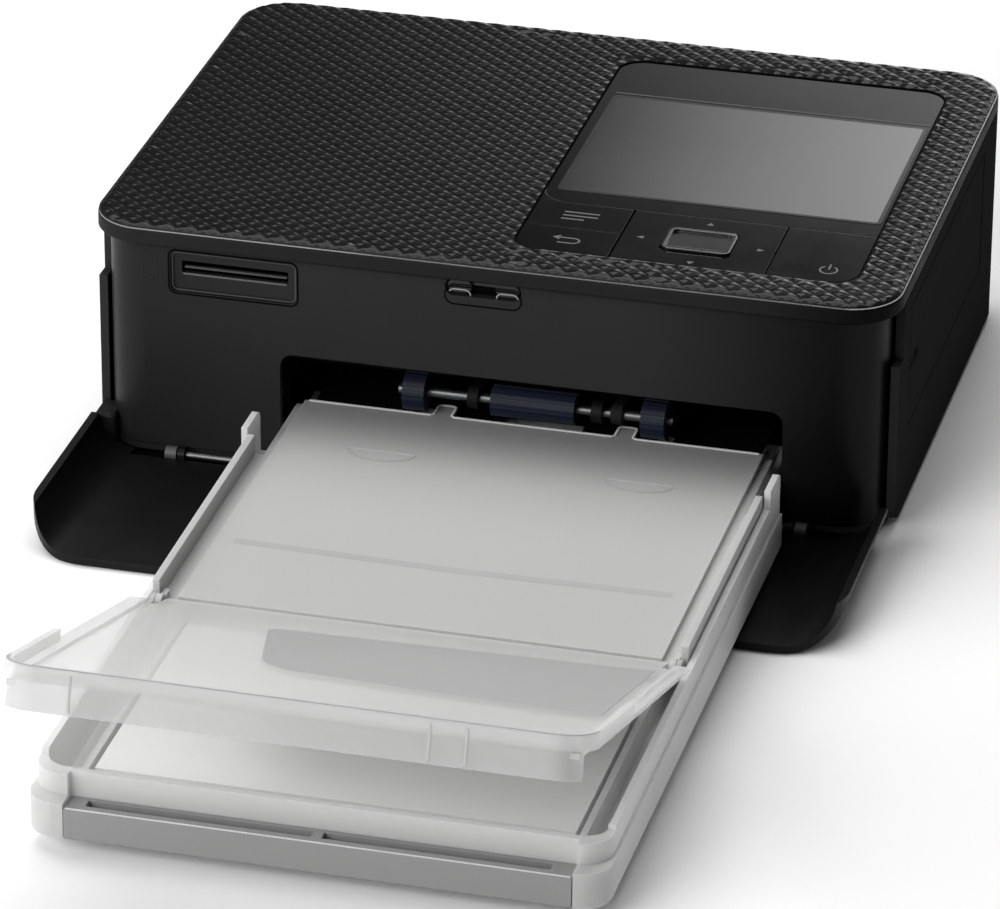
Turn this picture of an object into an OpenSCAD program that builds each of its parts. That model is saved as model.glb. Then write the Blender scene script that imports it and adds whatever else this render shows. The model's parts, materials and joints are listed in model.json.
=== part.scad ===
// Compact photo printer with an open front cover and a paper cassette in its slot.
// X to the right, Y to the back, Z up; Y values inside the modules are measured from the
// front edge of the top cover, and placed() moves them into the part's own frame.

/* [Body] */
// Width of the body
body_w = 182.2; // [176:0.1:200]
// Depth of the body
body_d = 133; // [130:0.1:150]
// Height of the body above the table
body_h = 57.6; // [56.5:0.1:66]
// Corner radius of the body seen from above
corner_r = 12; // [8:0.5:16]
// Wall thickness of the casing
wall = 2; // [1.8:0.1:2.4]
// Height of the rubber feet below the casing
foot_h = 1.5; // [1:0.1:3]
// Radius of a rubber foot
foot_r = 6; // [4:0.5:8]
// Gap between casing parts that do not touch
clear = 0.3; // [0.2:0.05:0.4]

/* [Top] */
// Height of the band round the top cover
band_h = 4.4; // [4:0.1:6]
// Rounding of the top cover's edges
edge_r = 1.4; // [0.8:0.1:1.8]
// Left edge of the control panel
panel_x0 = 3; // [0:0.5:6]
// Gap between the control panel and the right side of the body
panel_side = 11.1; // [9:0.1:14]
// Front edge of the control panel
panel_y0 = 11.8; // [10:0.1:14]
// Gap between the control panel and the rear of the body
panel_rear = 13.5; // [11:0.1:15]
// Corner radius of the control panel
panel_r = 6; // [4:0.5:8]
// Depth of the key area at the front of the control panel
key_area_d = 26; // [25:0.1:28]
// Width of the left keys
left_key_w = 21.8; // [20:0.1:23]
// Width of the direction pad
pad_w = 34.4; // [32:0.1:36]
// Width of the OK key
ok_w = 15.2; // [13:0.1:17]
// Depth of the OK key
ok_d = 10.8; // [9:0.1:12]
// Travel of every key
key_travel = 0.4; // [0.3:0.05:0.5]
// Gap between the display module and the sides of the control panel
lcd_side = 2; // [1.8:0.1:3.5]
// Depth of the display module
lcd_d = 55; // [50:0.5:57]

/* [Front] */
// Set-back of the fascia behind the top cover's front edge
fascia_inset = 2.5; // [2.2:0.1:3]
// Centre of the cassette slot
slot_x = 10; // [8:0.5:11]
// Width of the cassette slot
slot_w = 114; // [113:0.5:116]
// Height of the top of the cassette slot
slot_top = 29.3; // [29:0.1:31]
// Left edge of the card recess
card_x0 = -72.1; // [-74:0.1:-71]
// Width of the card recess
card_w = 28.9; // [28:0.1:31]
// Bottom of the card recess
card_z0 = 41.7; // [41:0.1:42]
// Height of the card recess
card_h = 9.7; // [9:0.1:10]
// Height of the card slot
card_slot_h = 2.8; // [2.4:0.1:3]
// Length of the front cover from its hinge to its free edge
cover_len = 53.2; // [50:0.1:54]
// Thickness of the front cover
cover_t = 1.8; // [1.6:0.1:1.8]
// Radius of the free corners of the front cover
cover_r = 15; // [10:0.5:18]
// Height of the side lips of the front cover
lip_h = 9.4; // [7:0.1:10]
// Radius of the cover's hinge pins
cover_pin_r = 0.8; // [0.7:0.05:0.9]

/* [Cassette] */
// Height of the cassette's underside above the table
cas_z0 = 3.6; // [3.5:0.1:3.8]
// Width of the cassette outside the printer
cas_w = 120; // [119:0.5:121]
// Width of the cassette inside the slot
neck_w = 109; // [108.5:0.5:110]
// Room between the paper and the front face of the cassette bar
paper_front = 16.2; // [15:0.1:20]
// Depth of the cassette neck behind the stop lugs
neck_d = 32; // [30:0.5:33]
// Height of the cassette side walls above its underside
cas_wall_h = 13.7; // [13:0.1:14]
// Height of the stop lugs above the cassette's underside
lug_h = 17.9; // [17:0.1:19]
// Height of the lid's top face above the cassette's underside
lid_h = 13.4; // [13:0.1:13.4]
// Travel of the cassette lid
lid_travel = 19.5; // [17:0.5:19.5]
// Tilt of the raised lid flap
flap_tilt = 17.4; // [12:0.2:20]
// Height of the wall round the front of the lid flap
flap_wall_h = 9; // [7:0.1:10]
// Width of the paper
paper_w = 100; // [98:0.5:101]
// Length of the paper with its tear-off ends
paper_l = 176; // [170:0.5:178]
// Height of the paper stack
paper_h = 5; // [3:0.1:5.2]

/* [Mechanism] */
// Radius of the pickup rollers
pickup_r = 4.4; // [4:0.1:4.5]
// Radius of the platen roller
platen_r = 6; // [5.5:0.1:6.2]
// Radius of the grip roller
grip_r = 3.5; // [3:0.1:3.6]
// Radius of the pinch roller
pinch_r = 1.6; // [1.4:0.1:1.6]
// Radius of the ink cassette's barrels
barrel_r = 12; // [11:0.1:12.2]
// Gear module
gear_m = 0.8; // [0.8:0.01:0.81]
// Thickness of the chassis plates
plate_t = 1.2; // [1:0.1:1.5]

/* [Hidden] */
$fn = 64;
e = 0.01;                      // overlap that joins two solids of one node
fit = 0.05;                    // radial clearance of a running fit

half_w = body_w / 2;
floor_z0 = foot_h;             // underside of the bottom cover
floor_z1 = foot_h + 1.8;       // upper face of the bottom cover
top_z0 = body_h - band_h;      // underside of the top cover's band
skin = 3.2;                    // thickness of the top cover over the control panel
skin_z0 = body_h - skin;
rear_wrap = 12;                // length of the rear panel's side returns
fascia_x = half_w - wall - 0.6;          // outer side face of the fascia
fascia_r = corner_r - 2;
fascia_back = fascia_inset + wall;       // inner face of the fascia
fascia_leg = 13.5;             // rear end of the fascia's side returns
strip_y0 = 9.8;                // front edge of a side panel below its step
strip_y1 = 14;                 // front edge of a side panel above its step
strip_step = 40;               // height of the step
side_y1 = body_d - rear_wrap;  // rear edge of a side panel
side_x = half_w - wall;        // inner face of a side panel

pocket_z0 = body_h - 1.8;      // floor of the control panel's pocket
panel_z1 = body_h - 0.15;      // upper face of the window and keys
window_t = 1.6;
seam = 0.2;                    // gap between the keys
key_y0 = panel_y0 + seam;
key_y1 = panel_y0 + key_area_d - seam;
key_t = 1.2;
key_z0 = panel_z1 - key_t;
stem_r = 1.6;
stem_hole_r = stem_r + 0.5;
flange_r = stem_hole_r + 0.8;
flange_t = 0.7;
flange_z0 = skin_z0 - 0.1 - flange_t;
board_z0 = body_h - 8;
board_z1 = board_z0 + 1.6;
panel_w = half_w - panel_side - panel_x0;
panel_d = body_d - panel_rear - panel_y0;
panel_x1 = panel_x0 + panel_w;
board_y1 = panel_y0 + panel_d - 17.7;
lcd_w = panel_w - 2 * lcd_side;
left_key_x1 = panel_x0 + left_key_w + seam;
pad_x0 = left_key_x1 + 2 * seam;
pad_x1 = pad_x0 + pad_w;
pad_cx = (pad_x0 + pad_x1) / 2;
right_key_x0 = pad_x1 + 2 * seam;
key_mid = (key_y0 + key_y1) / 2;
ok_cy = key_mid;
lcd_x0 = panel_x0 + (panel_w - lcd_w) / 2;
lcd_y0 = panel_y0 + key_area_d + 5.5;
// Centres of the key stems: menu, back, pad (4), OK, power
stem_menu = [(panel_x0 + left_key_x1) / 2, key_mid + 6];
stem_back = [(panel_x0 + left_key_x1) / 2, key_mid - 6];
stem_ok = [pad_cx, ok_cy];
stem_power = [(right_key_x0 + panel_x1) / 2, key_mid];
stems_pad = [
    for (s = [-1, 1]) [pad_cx + s * (ok_w / 2 + 5), key_mid],
    for (s = [-1, 1]) [pad_cx, key_mid + s * (ok_d / 2 + 4)]
];
stems_all = concat([stem_menu, stem_back, stem_ok, stem_power], stems_pad);

slot_x0 = slot_x - slot_w / 2;
slot_x1 = slot_x + slot_w / 2;
card_slot_z0 = card_z0 + card_h * 0.46;
reader_y1 = fascia_back + 23;  // rear end of the card reader
latch_x = -0.6;
latch_w = 17.2;
latch_h = 4.2;
latch_z = top_z0 - 2.5;

hinge_y = 0.6;                 // front cover's hinge axis
hinge_z = floor_z0 + 0.9;
ear_r = 1.7;
ear_bore_r = cover_pin_r + fit;
cover_z0 = 0.3;                // underside of the open front cover
// Hinge stations along X: [bush from, bush to, ear from, ear to, pin from, pin to]
cas_x0 = slot_x - cas_w / 2;
cas_x1 = slot_x + cas_w / 2;
left_hinge = concat([for (d = [17.9, 20.5, 20.8, 22.5, 17.9]) d - half_w], cas_x0 - 1.2);
right_hinge = [for (d = [3.9, 6.5, 1.4, 3.6, 1, 6.5]) slot_x1 + d];
cover_arm_w = (half_w - right_hinge[1]) / 2 + 1.2;
left_inner_ear = [cas_x0 - 4, cas_x0 - 1.5];
neck_x0 = slot_x - neck_w / 2;
neck_x1 = slot_x + neck_w / 2;
lug_y1 = -10;                  // rear end of the stop lugs
lug_y0 = lug_y1 - 10;          // front end of the slots beside the neck
neck_y1 = lug_y1 + neck_d;     // rear end of the cassette
cas_t = 1.8;                   // floor thickness of the cassette
cas_wall = 1.4;
rim_h = 7.8;                   // height of the lower rim of the cassette
rim_proud = 0.6;               // how far the lower rim stands out
cas_wall_z1 = cas_z0 + cas_wall_h;
paper_y1 = neck_y1 - cas_wall - 0.4;          // rear end of the paper
cas_front = paper_y1 - paper_l - paper_front; // front face of the cassette bar
upper_front = cas_front + 3.8; // front face of the cassette's upper wall
bar_h = 6.8;
bar_d = 5.5;
bar_x0 = cas_x0 + 8.5;
bar_x1 = cas_x1 - 6.9;
front_wall_y = cas_front + bar_d + 0.1;
front_wall_z1 = cas_z0 + 12.5; // top of the front wall
guide_x = paper_w / 2 + 1;     // half width between the paper guides
guide_t = 1.4;
guide_z1 = cas_z0 + 7.9;
neck_wall_z1 = cas_z0 + 10.6;

lid_z1 = cas_z0 + lid_h;       // upper face of the lid
lid_t = 1.4;
lid_rear = 6;                  // rear edge of the lid
shelf_drop = 1.2;              // step between the lid's plate and its side shelves
rim_in = cas_w / 2 - rim_proud - cas_wall - 0.3;  // outer half width of the lid's rim
rim_t = 1.5;
rim_top = lid_z1 + 3.4;
flap_hinge_y = -94;
flap_hinge_z = lid_z1 - 0.7;
flap_len = flap_hinge_y - cas_front + lid_travel;
flap_t = 1.1;                  // thickness of the flap's floor
flap_z0 = front_wall_z1 + 0.3 - flap_hinge_z;   // underside of the floor, from the hinge
flap_ledge_z0 = cas_wall_z1 + 0.3 - flap_hinge_z;
flap_ledge_t = 0.8;
flap_ear_r = 2.2;
flap_pin_r = 1.1;
flap_ear_x0 = 54.6;            // lid ears, measured from the cassette's centre
flap_ear_t = 1.3;
gusset_l = 38;
flap_top = 4.6;                // top of the front wall and gussets, from the hinge
flap_r = 8;
tab_x = [18.4, 22.9];          // tabs at the lid's rear edge, from its centre
tab_l = 5.2;

path_z = cas_z0 + 12.9;        // height of the paper path through the head
chassis_x0 = slot_x - 62;
chassis_x1 = slot_x + 62 + plate_t;
chassis_in0 = chassis_x0 + plate_t;
chassis_in1 = slot_x + 62;
chassis_y0 = 7.5;
chassis_y1 = body_d - 15;
chassis_z1 = 47.5;
ink_z = floor_z1 + 29.7;
takeup_y = 36;
supply_y = 92;
ink_x0 = slot_x - 58;
ink_x1 = slot_x + 58;
ink_t = 4;                     // thickness of the ink cassette's end plates
roll_half = slot_x - ink_x0 - 8;
grip = [takeup_y, path_z - grip_r];
platen = [64, path_z - platen_r];
pinch = [takeup_y, path_z + 0.2 + pinch_r];
pickup = [8, lid_z1 + 0.2 + pickup_r];
grip_teeth = 22;
idler_teeth = 36;
pinion_teeth = 12;
drive_teeth = 16;
takeup_teeth = 18;
gear_w = 4;
gear_x = chassis_x0 - 1.4 - gear_w;
drive_dist = gear_m * (grip_teeth + drive_teeth) / 2;
drive_z = pickup[1] - 1.4;
drive = [grip[0] - sqrt(pow(drive_dist, 2) - pow(drive_z - grip[1], 2)), drive_z];
drive_ang = atan2(drive[1] - grip[1], drive[0] - grip[0]);
idler_ang = 20;
idler = grip + gear_m * (grip_teeth + idler_teeth) / 2 * [cos(idler_ang), sin(idler_ang)];
pinion_ang = 15;
feed_pin = idler + gear_m * (idler_teeth + pinion_teeth) / 2 * [cos(pinion_ang), sin(pinion_ang)];
takeup_ang = 30;
ribbon_pin = [takeup_y, ink_z]
    + gear_m * (takeup_teeth + pinion_teeth) / 2 * [cos(takeup_ang), sin(takeup_ang)];
idler_phase = mate_phase(idler_ang, grip_teeth, idler_teeth, 0);
pinion_phase = mate_phase(pinion_ang, idler_teeth, pinion_teeth, idler_phase);
drive_phase = mate_phase(drive_ang, grip_teeth, drive_teeth, 0);
ribbon_phase = mate_phase(takeup_ang, takeup_teeth, pinion_teeth, 0);
head_gap = 1;                  // from the paper path to the thermal head
head_lift = 3.8;
head_w = 103;
head_y0 = 58;
head_y1 = 70;
shaft_r = 1.6;
bearing_r = 3.2;
bracket_x = [-5, 23.2];        // left faces of the pickup shaft brackets
bracket_t = 2.4;
pulley_r = 2.3;
pulley_w = 3;
pulley_x = 27.4;
belt_t = 0.6;
door_y0 = 21;
door_y1 = body_d - 26;
door_z0 = floor_z1 + 17;
door_z1 = 49.5;
door_gap = 0.4;
door_pin_r = 0.6;
door_axis = [half_w - 1.01, door_y1 - door_gap - 1];
rear_slot_h = 5.6;
board_seat = floor_z1 + 3;     // top of the bosses under the main board
foot_x = half_w - 15;
foot_places = [for (s = [-1, 1], y = [22, body_d - 17]) [s * foot_x, y]];
screw_places = [for (s = [-1, 1], y = [44, body_d - 38]) [s * (foot_x + 3), y]];
jack_x = 21.1 - half_w;
usb_x = jack_x + 20;
pcb_w = 2 * (slot_x - usb_x - 10);           // width of the main board
pcb_y0 = platen[0] + platen_r + 8;
pcb_y1 = body_d - 7;
pcb_edge = 4;                  // from the main board's edges to its screw holes
pcb_holes = [
    for (s = [-1, 1], y = [pcb_y0 + pcb_edge, pcb_y1 - pcb_edge])
        [slot_x + s * (pcb_w / 2 - pcb_edge), y]
];
lever_x1 = (chassis_x1 + half_w) / 2;

// The front of the raised flap decides where the part's middle lies
flap_foot_y = flap_hinge_y - flap_len * cos(flap_tilt)
    - (flap_wall_h - flap_top) * sin(flap_tilt);
frame_y = -(body_d + flap_foot_y) / 2;

// Angle of a tooth on gear B, so that it meshes with gear A in the direction ang
function mate_phase(ang, za, zb, phase_a) =
    ang + 180 + 180 / zb + (ang - phase_a) * za / zb;

module placed() {
    translate([0, frame_y, 0]) children();
}

// Extrudes an outline given in (Y, Z) along X, from x over the length len
module along_x(x, len) {
    translate([x, 0, 0]) rotate([90, 0, 90]) linear_extrude(len) children();
}

// Extrudes an outline given in (X, Z) along Y, from y over the length len
module along_y(y, len) {
    translate([0, y + len, 0]) rotate([90, 0, 0]) linear_extrude(len) children();
}

module box(x0, x1, y0, y1, z0, z1) {
    translate([x0, y0, z0]) cube([x1 - x0, y1 - y0, z1 - z0]);
}

module round_rect(x0, x1, y0, y1, r) {
    translate([x0 + r, y0]) square([x1 - x0 - 2 * r, y1 - y0]);
    translate([x0, y0 + r]) square([x1 - x0, y1 - y0 - 2 * r]);
    for (cx = [x0 + r, x1 - r], cy = [y0 + r, y1 - r]) translate([cx, cy]) circle(r);
}

module slab(x0, x1, y0, y1, r, z0, z1) {
    translate([0, 0, z0]) linear_extrude(z1 - z0) round_rect(x0, x1, y0, y1, r);
}

module rod(x0, x1, at, r) {
    translate([x0, at[0], at[1]]) rotate([90, 0, 90]) cylinder(r = r, h = x1 - x0);
}

// Outline of the body seen from above, drawn in by inset
module body_outline(inset) {
    round_rect(inset - half_w, half_w - inset, inset, body_d - inset, corner_r - inset);
}

// One gear outline with straight flanks and room for running
module gear_outline(teeth, phase) {
    pitch_r = gear_m * teeth / 2;
    tip_r = pitch_r + 0.8 * gear_m;
    root_r = pitch_r - 1.1 * gear_m;
    half = gear_m * PI / 4 - 0.18;
    tip_half = half - 0.8 * gear_m * tan(20);
    root_half = half + 1.1 * gear_m * tan(20);
    circle(root_r);
    for (i = [0 : teeth - 1]) rotate(phase + i * 360 / teeth)
        polygon([
            [root_r - 0.3, -root_half],
            [tip_r, -tip_half],
            [tip_r, tip_half],
            [root_r - 0.3, root_half]
        ]);
}

module gear(at, teeth, phase, bore_r) {
    along_x(gear_x, gear_w) translate(at) difference() {
        gear_outline(teeth, phase);
        circle(bore_r);
    }
}

// ---- Casing ----

// Section through the top cover's rounded edge, from a corner's centre outwards
module band_profile() {
    polygon([
        [0, 0], [corner_r - 0.5, 0], [corner_r, 0.5], [corner_r, band_h - edge_r],
        [corner_r - edge_r, band_h], [0, band_h]
    ]);
    translate([corner_r - edge_r, band_h - edge_r]) circle(edge_r);
}

module top_cover() placed() color("#1b1b1c") {
    difference() {
        union() {
            along_x(corner_r - half_w, body_w - 2 * corner_r) {
                translate([corner_r, top_z0]) mirror([1, 0]) band_profile();
                translate([corner_r, top_z0]) square([body_d - 2 * corner_r, band_h]);
                translate([body_d - corner_r, top_z0]) band_profile();
            }
            along_y(corner_r, body_d - 2 * corner_r) {
                translate([corner_r - half_w, top_z0]) mirror([1, 0]) band_profile();
                translate([half_w - corner_r, top_z0]) band_profile();
            }
            for (a = [0 : 3]) translate([
                (a == 0 || a == 3 ? 1 : -1) * (half_w - corner_r),
                a < 2 ? body_d - corner_r : corner_r,
                top_z0
            ]) rotate(a * 90) rotate_extrude(angle = 90) band_profile();
        }
        slab(wall - half_w + 3, half_w - wall - 3, wall + 4, body_d - wall - 3, corner_r - 4,
            top_z0 - 1, skin_z0);
        slab(panel_x0, panel_x1, panel_y0, panel_y0 + panel_d, panel_r, pocket_z0, body_h + 1);
        box(lcd_x0 - clear, lcd_x0 + lcd_w + clear, lcd_y0 - clear, lcd_y0 + lcd_d + clear,
            skin_z0 - 1, pocket_z0 + 1);
        for (p = stems_all) translate([p[0], p[1], skin_z0 - 1])
            cylinder(r = stem_hole_r, h = skin);
    }
    // Bosses that carry the control board
    for (x = [panel_x0 - 1.5, panel_x1 + 1.5], y = [panel_y0 + 3, board_y1 - 3])
        translate([x, y, board_z1]) cylinder(r = 2.2, h = skin_z0 - board_z1 + e);
}

module control_window() placed() color("#101113")
    slab(panel_x0 + seam, panel_x1 - seam, key_y1 + 2 * seam, panel_y0 + panel_d - seam,
        panel_r - seam, pocket_z0, pocket_z0 + window_t);

module lcd_module() placed() color("#55585c") {
    slab(lcd_x0, lcd_x0 + lcd_w, lcd_y0, lcd_y0 + lcd_d, 1, board_z1, pocket_z0);
}

module control_board() placed() color("#1f4a2c") difference() {
    box(panel_x0 - 4, panel_x1 + 4, panel_y0, board_y1, board_z0, board_z1);
    for (x = [panel_x0 - 1.5, panel_x1 + 1.5], y = [panel_y0 + 3, board_y1 - 3])
        translate([x, y, board_z0 - 1]) cylinder(r = 1.2, h = 4);
}

module key_switches() placed() color("silver")
    for (p = stems_all) translate([p[0], p[1], board_z1]) {
        translate([-2.4, -2.4, 0]) cube([4.8, 4.8, 1]);
        cylinder(r = 1.1, h = flange_z0 - key_travel - 0.15 - board_z1);
    }

module fascia_outline(inset) {
    round_rect(inset - fascia_x, fascia_x - inset, fascia_inset + inset,
        fascia_leg + 2 * corner_r, fascia_r - inset);
}

module front_fascia() placed() color("#161617") difference() {
    translate([0, 0, floor_z1]) linear_extrude(top_z0 - floor_z1) difference() {
        fascia_outline(0);
        fascia_outline(wall);
        translate([-half_w, fascia_leg]) square([body_w, body_d]);
    }
    // Cassette slot, open at the bottom
    along_y(0, fascia_leg / 2) round_rect(slot_x0, slot_x1, floor_z1 - 10, slot_top, 3);
    // Card recess and the slot in it
    along_y(0, fascia_inset + 1)
        round_rect(card_x0, card_x0 + card_w, card_z0, card_z0 + card_h, 1.5);
    along_y(0, fascia_leg / 2) round_rect(card_x0 + 2.4, card_x0 + card_w - 2,
        card_slot_z0, card_slot_z0 + card_slot_h, 0.4);
    // Latch recess
    along_y(0, fascia_leg / 2) round_rect(latch_x - latch_w / 2, latch_x + latch_w / 2,
        latch_z - latch_h / 2, latch_z + latch_h / 2, latch_h / 2 - 0.1);
}

module side_outline() {
    polygon([
        [strip_y0 + 3, floor_z0 + 0.5], [strip_y0 + 0.9, floor_z0 + 1.4],
        [strip_y0, floor_z0 + 3.5], [strip_y0, strip_step], [strip_y1, strip_step],
        [strip_y1, top_z0], [side_y1, top_z0], [side_y1, floor_z0], [strip_y0 + 5, floor_z0]
    ]);
}

module side_panel_left() placed() color("#141415")
    along_x(-half_w, wall) side_outline();

module side_panel_right() placed() color("#141415") difference() {
    along_x(side_x, wall) side_outline();
    box(side_x - 1, half_w + 1, door_y0, door_y1, door_z0, door_z1);
    // Sockets of the ink door's pins
    translate([door_axis[0], door_axis[1], door_z0 - 2.2])
        cylinder(r = door_pin_r + fit, h = door_z1 - door_z0 + 4.4);
}

module rear_panel() placed() color("#141415") difference() {
    translate([0, 0, floor_z0]) linear_extrude(top_z0 - floor_z0) difference() {
        body_outline(0);
        body_outline(wall);
        translate([-half_w - 1, -1]) square([body_w + 2, side_y1 + 1]);
    }
    // Paper slot
    along_y(body_d - wall - 1, wall + 2)
        round_rect(slot_x - 52, slot_x + 52, path_z - 2.4, path_z - 2.4 + rear_slot_h, 1);
    // Vents
    for (i = [0 : 11]) along_y(body_d - wall - 1, wall + 2)
        round_rect(slot_x - 34 + i * 6, slot_x - 32 + i * 6, 30, 44, 0.9);
    // Power and USB inlets
    translate([jack_x, body_d - wall - 1, 13]) rotate([-90, 0, 0]) cylinder(r = 4.2, h = wall + 2);
    along_y(body_d - wall - 1, wall + 2) round_rect(usb_x - 4.8, usb_x + 4.8, 11, 15, 1.9);
}

module bottom_cover() placed() color("#121213") difference() {
    union() {
        translate([0, 0, floor_z0]) linear_extrude(floor_z1 - floor_z0) difference() {
            round_rect(-side_x, side_x, fascia_inset + 0.5, body_d - wall, fascia_r);
            translate([-half_w, -1]) square([half_w - fascia_x + 1.6, strip_y0 + 1]);
            translate([fascia_x - 1.6, -1]) square([half_w - fascia_x + 1.6, strip_y0 + 1]);
        }
        // Bosses that carry the main board
        for (p = pcb_holes) translate([p[0], p[1], floor_z0])
            cylinder(r = 3, h = board_seat - floor_z0);
        // Seats of the power jack and the USB port
        box(jack_x - 5, jack_x + 5, body_d - wall - 12, body_d - wall - 1, floor_z0, 8.5);
        box(usb_x - 4, usb_x + 4, body_d - wall - 8, body_d - wall - 1, floor_z0, 10.4);
    }
    for (p = screw_places) translate([p[0], p[1], floor_z0 - 1]) cylinder(r = 1.3, h = 8);
    for (p = foot_places) translate([p[0], p[1], floor_z0 - 1]) cylinder(r = foot_r + fit, h = 1.4);
}

module feet() placed() color("#0c0c0c")
    for (p = foot_places) translate([p[0], p[1], 0]) cylinder(r = foot_r, h = foot_h + 0.4);

// Pan-head screws that hold the bottom cover from below
module case_screws() placed() color("silver")
    for (p = screw_places) translate([p[0], p[1], floor_z0 - 1.2]) difference() {
        union() {
            cylinder(r = 2.4, h = 1.2);
            cylinder(r = 1.25, h = 5);
        }
        for (a = [0, 90]) rotate(a) translate([-1.3, -0.25, -1]) cube([2.6, 0.5, 1.6]);
    }

// ---- Front parts ----

module card_reader() placed() color("#8d9093") difference() {
    box(card_x0 + 1.4, card_x0 + card_w - 1, fascia_back, reader_y1, card_slot_z0 - 1,
        card_slot_z0 + card_slot_h + 1);
    box(card_x0 + 2.4, card_x0 + card_w - 2, 0, reader_y1 - 1.2, card_slot_z0,
        card_slot_z0 + card_slot_h);
}

module latch_tabs() placed() color("#3c3c3e") {
    along_y(fascia_back, 1.4) round_rect(latch_x - 11.5, latch_x + 11.5, latch_z - 3.2,
        top_z0, 1);
    for (s = [-1, 1]) along_y(fascia_back - 1.5, 1.5 + e)
        round_rect(latch_x + s * 5.4 - 2.7, latch_x + s * 5.4 + 2.7, latch_z - 1.5,
            latch_z + 1.5, 1.45);
}

module cover_hinge_pins() placed() color("silver") {
    rod(left_hinge[4], left_hinge[5], [hinge_y, hinge_z], cover_pin_r);
    rod(right_hinge[4], right_hinge[5], [hinge_y, hinge_z], cover_pin_r);
}

module bush(x0, x1) {
    along_x(x0, x1 - x0) difference() {
        union() {
            translate([hinge_y, hinge_z]) circle(ear_r);
            translate([hinge_y, floor_z0]) square([fascia_inset + 0.5 - hinge_y,
                floor_z1 - floor_z0]);
        }
        translate([hinge_y, hinge_z]) circle(cover_pin_r + 0.02);
    }
}

module cover_hinge_bushes() placed() color("#2a2a2c") {
    bush(left_hinge[0], left_hinge[1]);
    bush(right_hinge[0], right_hinge[1]);
}

// Cross-section of the front cover in (X, Z): a shallow trough with curved sides
module cover_section() {
    r = lip_h + 0.6;
    difference() {
        round_rect(-half_w, half_w, cover_z0, cover_z0 + 3 * r, r);
        round_rect(cover_t - half_w, half_w - cover_t, cover_z0 + cover_t,
            cover_z0 + 3 * r - cover_t, r - cover_t);
        translate([-half_w - 1, cover_z0 + lip_h]) square([body_w + 2, 4 * r]);
    }
}

module cover_ear(x0, x1) {
    along_x(x0, x1 - x0) union() {
        translate([hinge_y, hinge_z]) circle(ear_r);
        translate([hinge_y - ear_r - 2.4, cover_z0])
            square([ear_r + 2.4, hinge_z - cover_z0 - 0.4]);
    }
}

module front_cover() placed() color("#191a1b") {
    free_y = hinge_y - cover_len;
    difference() {
        union() {
            intersection() {
                along_y(free_y, cover_len + 1.2) cover_section();
                slab(-half_w, half_w, free_y, 60, cover_r, 0, lip_h + 1);
                union() {
                    box(-half_w, half_w, free_y, hinge_y - 2.2, 0, lip_h + 1);
                    for (s = [-1, 1]) translate([s * (half_w - cover_arm_w / 2), -1, 0])
                        linear_extrude(lip_h + 1) square([cover_arm_w, 30], center = true);
                }
            }
            cover_ear(left_hinge[2], left_hinge[3]);
            cover_ear(left_inner_ear[0], left_inner_ear[1]);
            cover_ear(right_hinge[2], right_hinge[3]);
        }
        rod(left_hinge[0] - 1, right_hinge[1] + 1, [hinge_y, hinge_z], ear_bore_r);
    }
}

// ---- Control panel keys ----

// A key cap with its captive stem
module key_stem(p) {
    translate([p[0], p[1], flange_z0]) {
        cylinder(r = stem_r, h = key_z0 + e - flange_z0);
        cylinder(r = flange_r, h = flange_t);
    }
}

// Key area with the panel's rounded outer corners, cut to x0..x1 and y0..y1
module key_cap(x0, x1, y0, y1) {
    intersection() {
        slab(panel_x0 + seam, panel_x1 - seam, key_y0, panel_y0 + panel_d, panel_r - seam,
            key_z0, panel_z1);
        box(x0, x1, y0, y1, key_z0 - 1, panel_z1 + 1);
    }
}

module menu_key() placed() color("#131416") {
    key_cap(0, left_key_x1 - seam, key_mid + seam, key_y1);
    key_stem(stem_menu);
}

module back_key() placed() color("#131416") {
    key_cap(0, left_key_x1 - seam, 0, key_mid - seam);
    key_stem(stem_back);
}

module direction_pad() placed() color("#131416") {
    difference() {
        key_cap(pad_x0, pad_x1, 0, key_y1);
        box(pad_cx - ok_w / 2 - clear, pad_cx + ok_w / 2 + clear, ok_cy - ok_d / 2 - clear,
            ok_cy + ok_d / 2 + clear, key_z0 - 1, body_h);
    }
    for (p = stems_pad) key_stem(p);
}

module ok_key() placed() color("#1c1d1f") {
    difference() {
        slab(pad_cx - ok_w / 2, pad_cx + ok_w / 2, ok_cy - ok_d / 2, ok_cy + ok_d / 2, 1.5,
            key_z0, panel_z1 + 0.5);
        slab(pad_cx - ok_w / 2 + 1, pad_cx + ok_w / 2 - 1, ok_cy - ok_d / 2 + 1,
            ok_cy + ok_d / 2 - 1, 1, panel_z1, body_h + 1);
    }
    key_stem(stem_ok);
}

module power_key() placed() color("#131416") {
    key_cap(right_key_x0, panel_x1, 0, key_y1);
    key_stem(stem_power);
}

// ---- Chassis ----

// Side profile of a chassis plate in (Y, Z)
module chassis_outline(step_y) {
    polygon([
        [neck_y1 + clear, floor_z1], [neck_y1 + clear, path_z - 4], [chassis_y0, path_z],
        [chassis_y0, slot_top], [step_y, slot_top + 6], [step_y, chassis_z1 - 2],
        [step_y + 2, chassis_z1], [chassis_y1, chassis_z1], [chassis_y1, floor_z1]
    ]);
}

module chassis_left_plate() placed() color("#b9bcbf") {
    along_x(chassis_x0, plate_t) difference() {
        chassis_outline(reader_y1 + 1);
        for (p = [grip, platen, drive]) translate(p) circle(bearing_r);
        translate(pinch) circle(0.8 + fit);
        for (y = [takeup_y, supply_y]) translate([y, ink_z]) circle(3 + fit);
    }
    // Axle of the idler gear
    rod(gear_x - 0.6, chassis_x0 + e, idler, 2);
}

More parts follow.
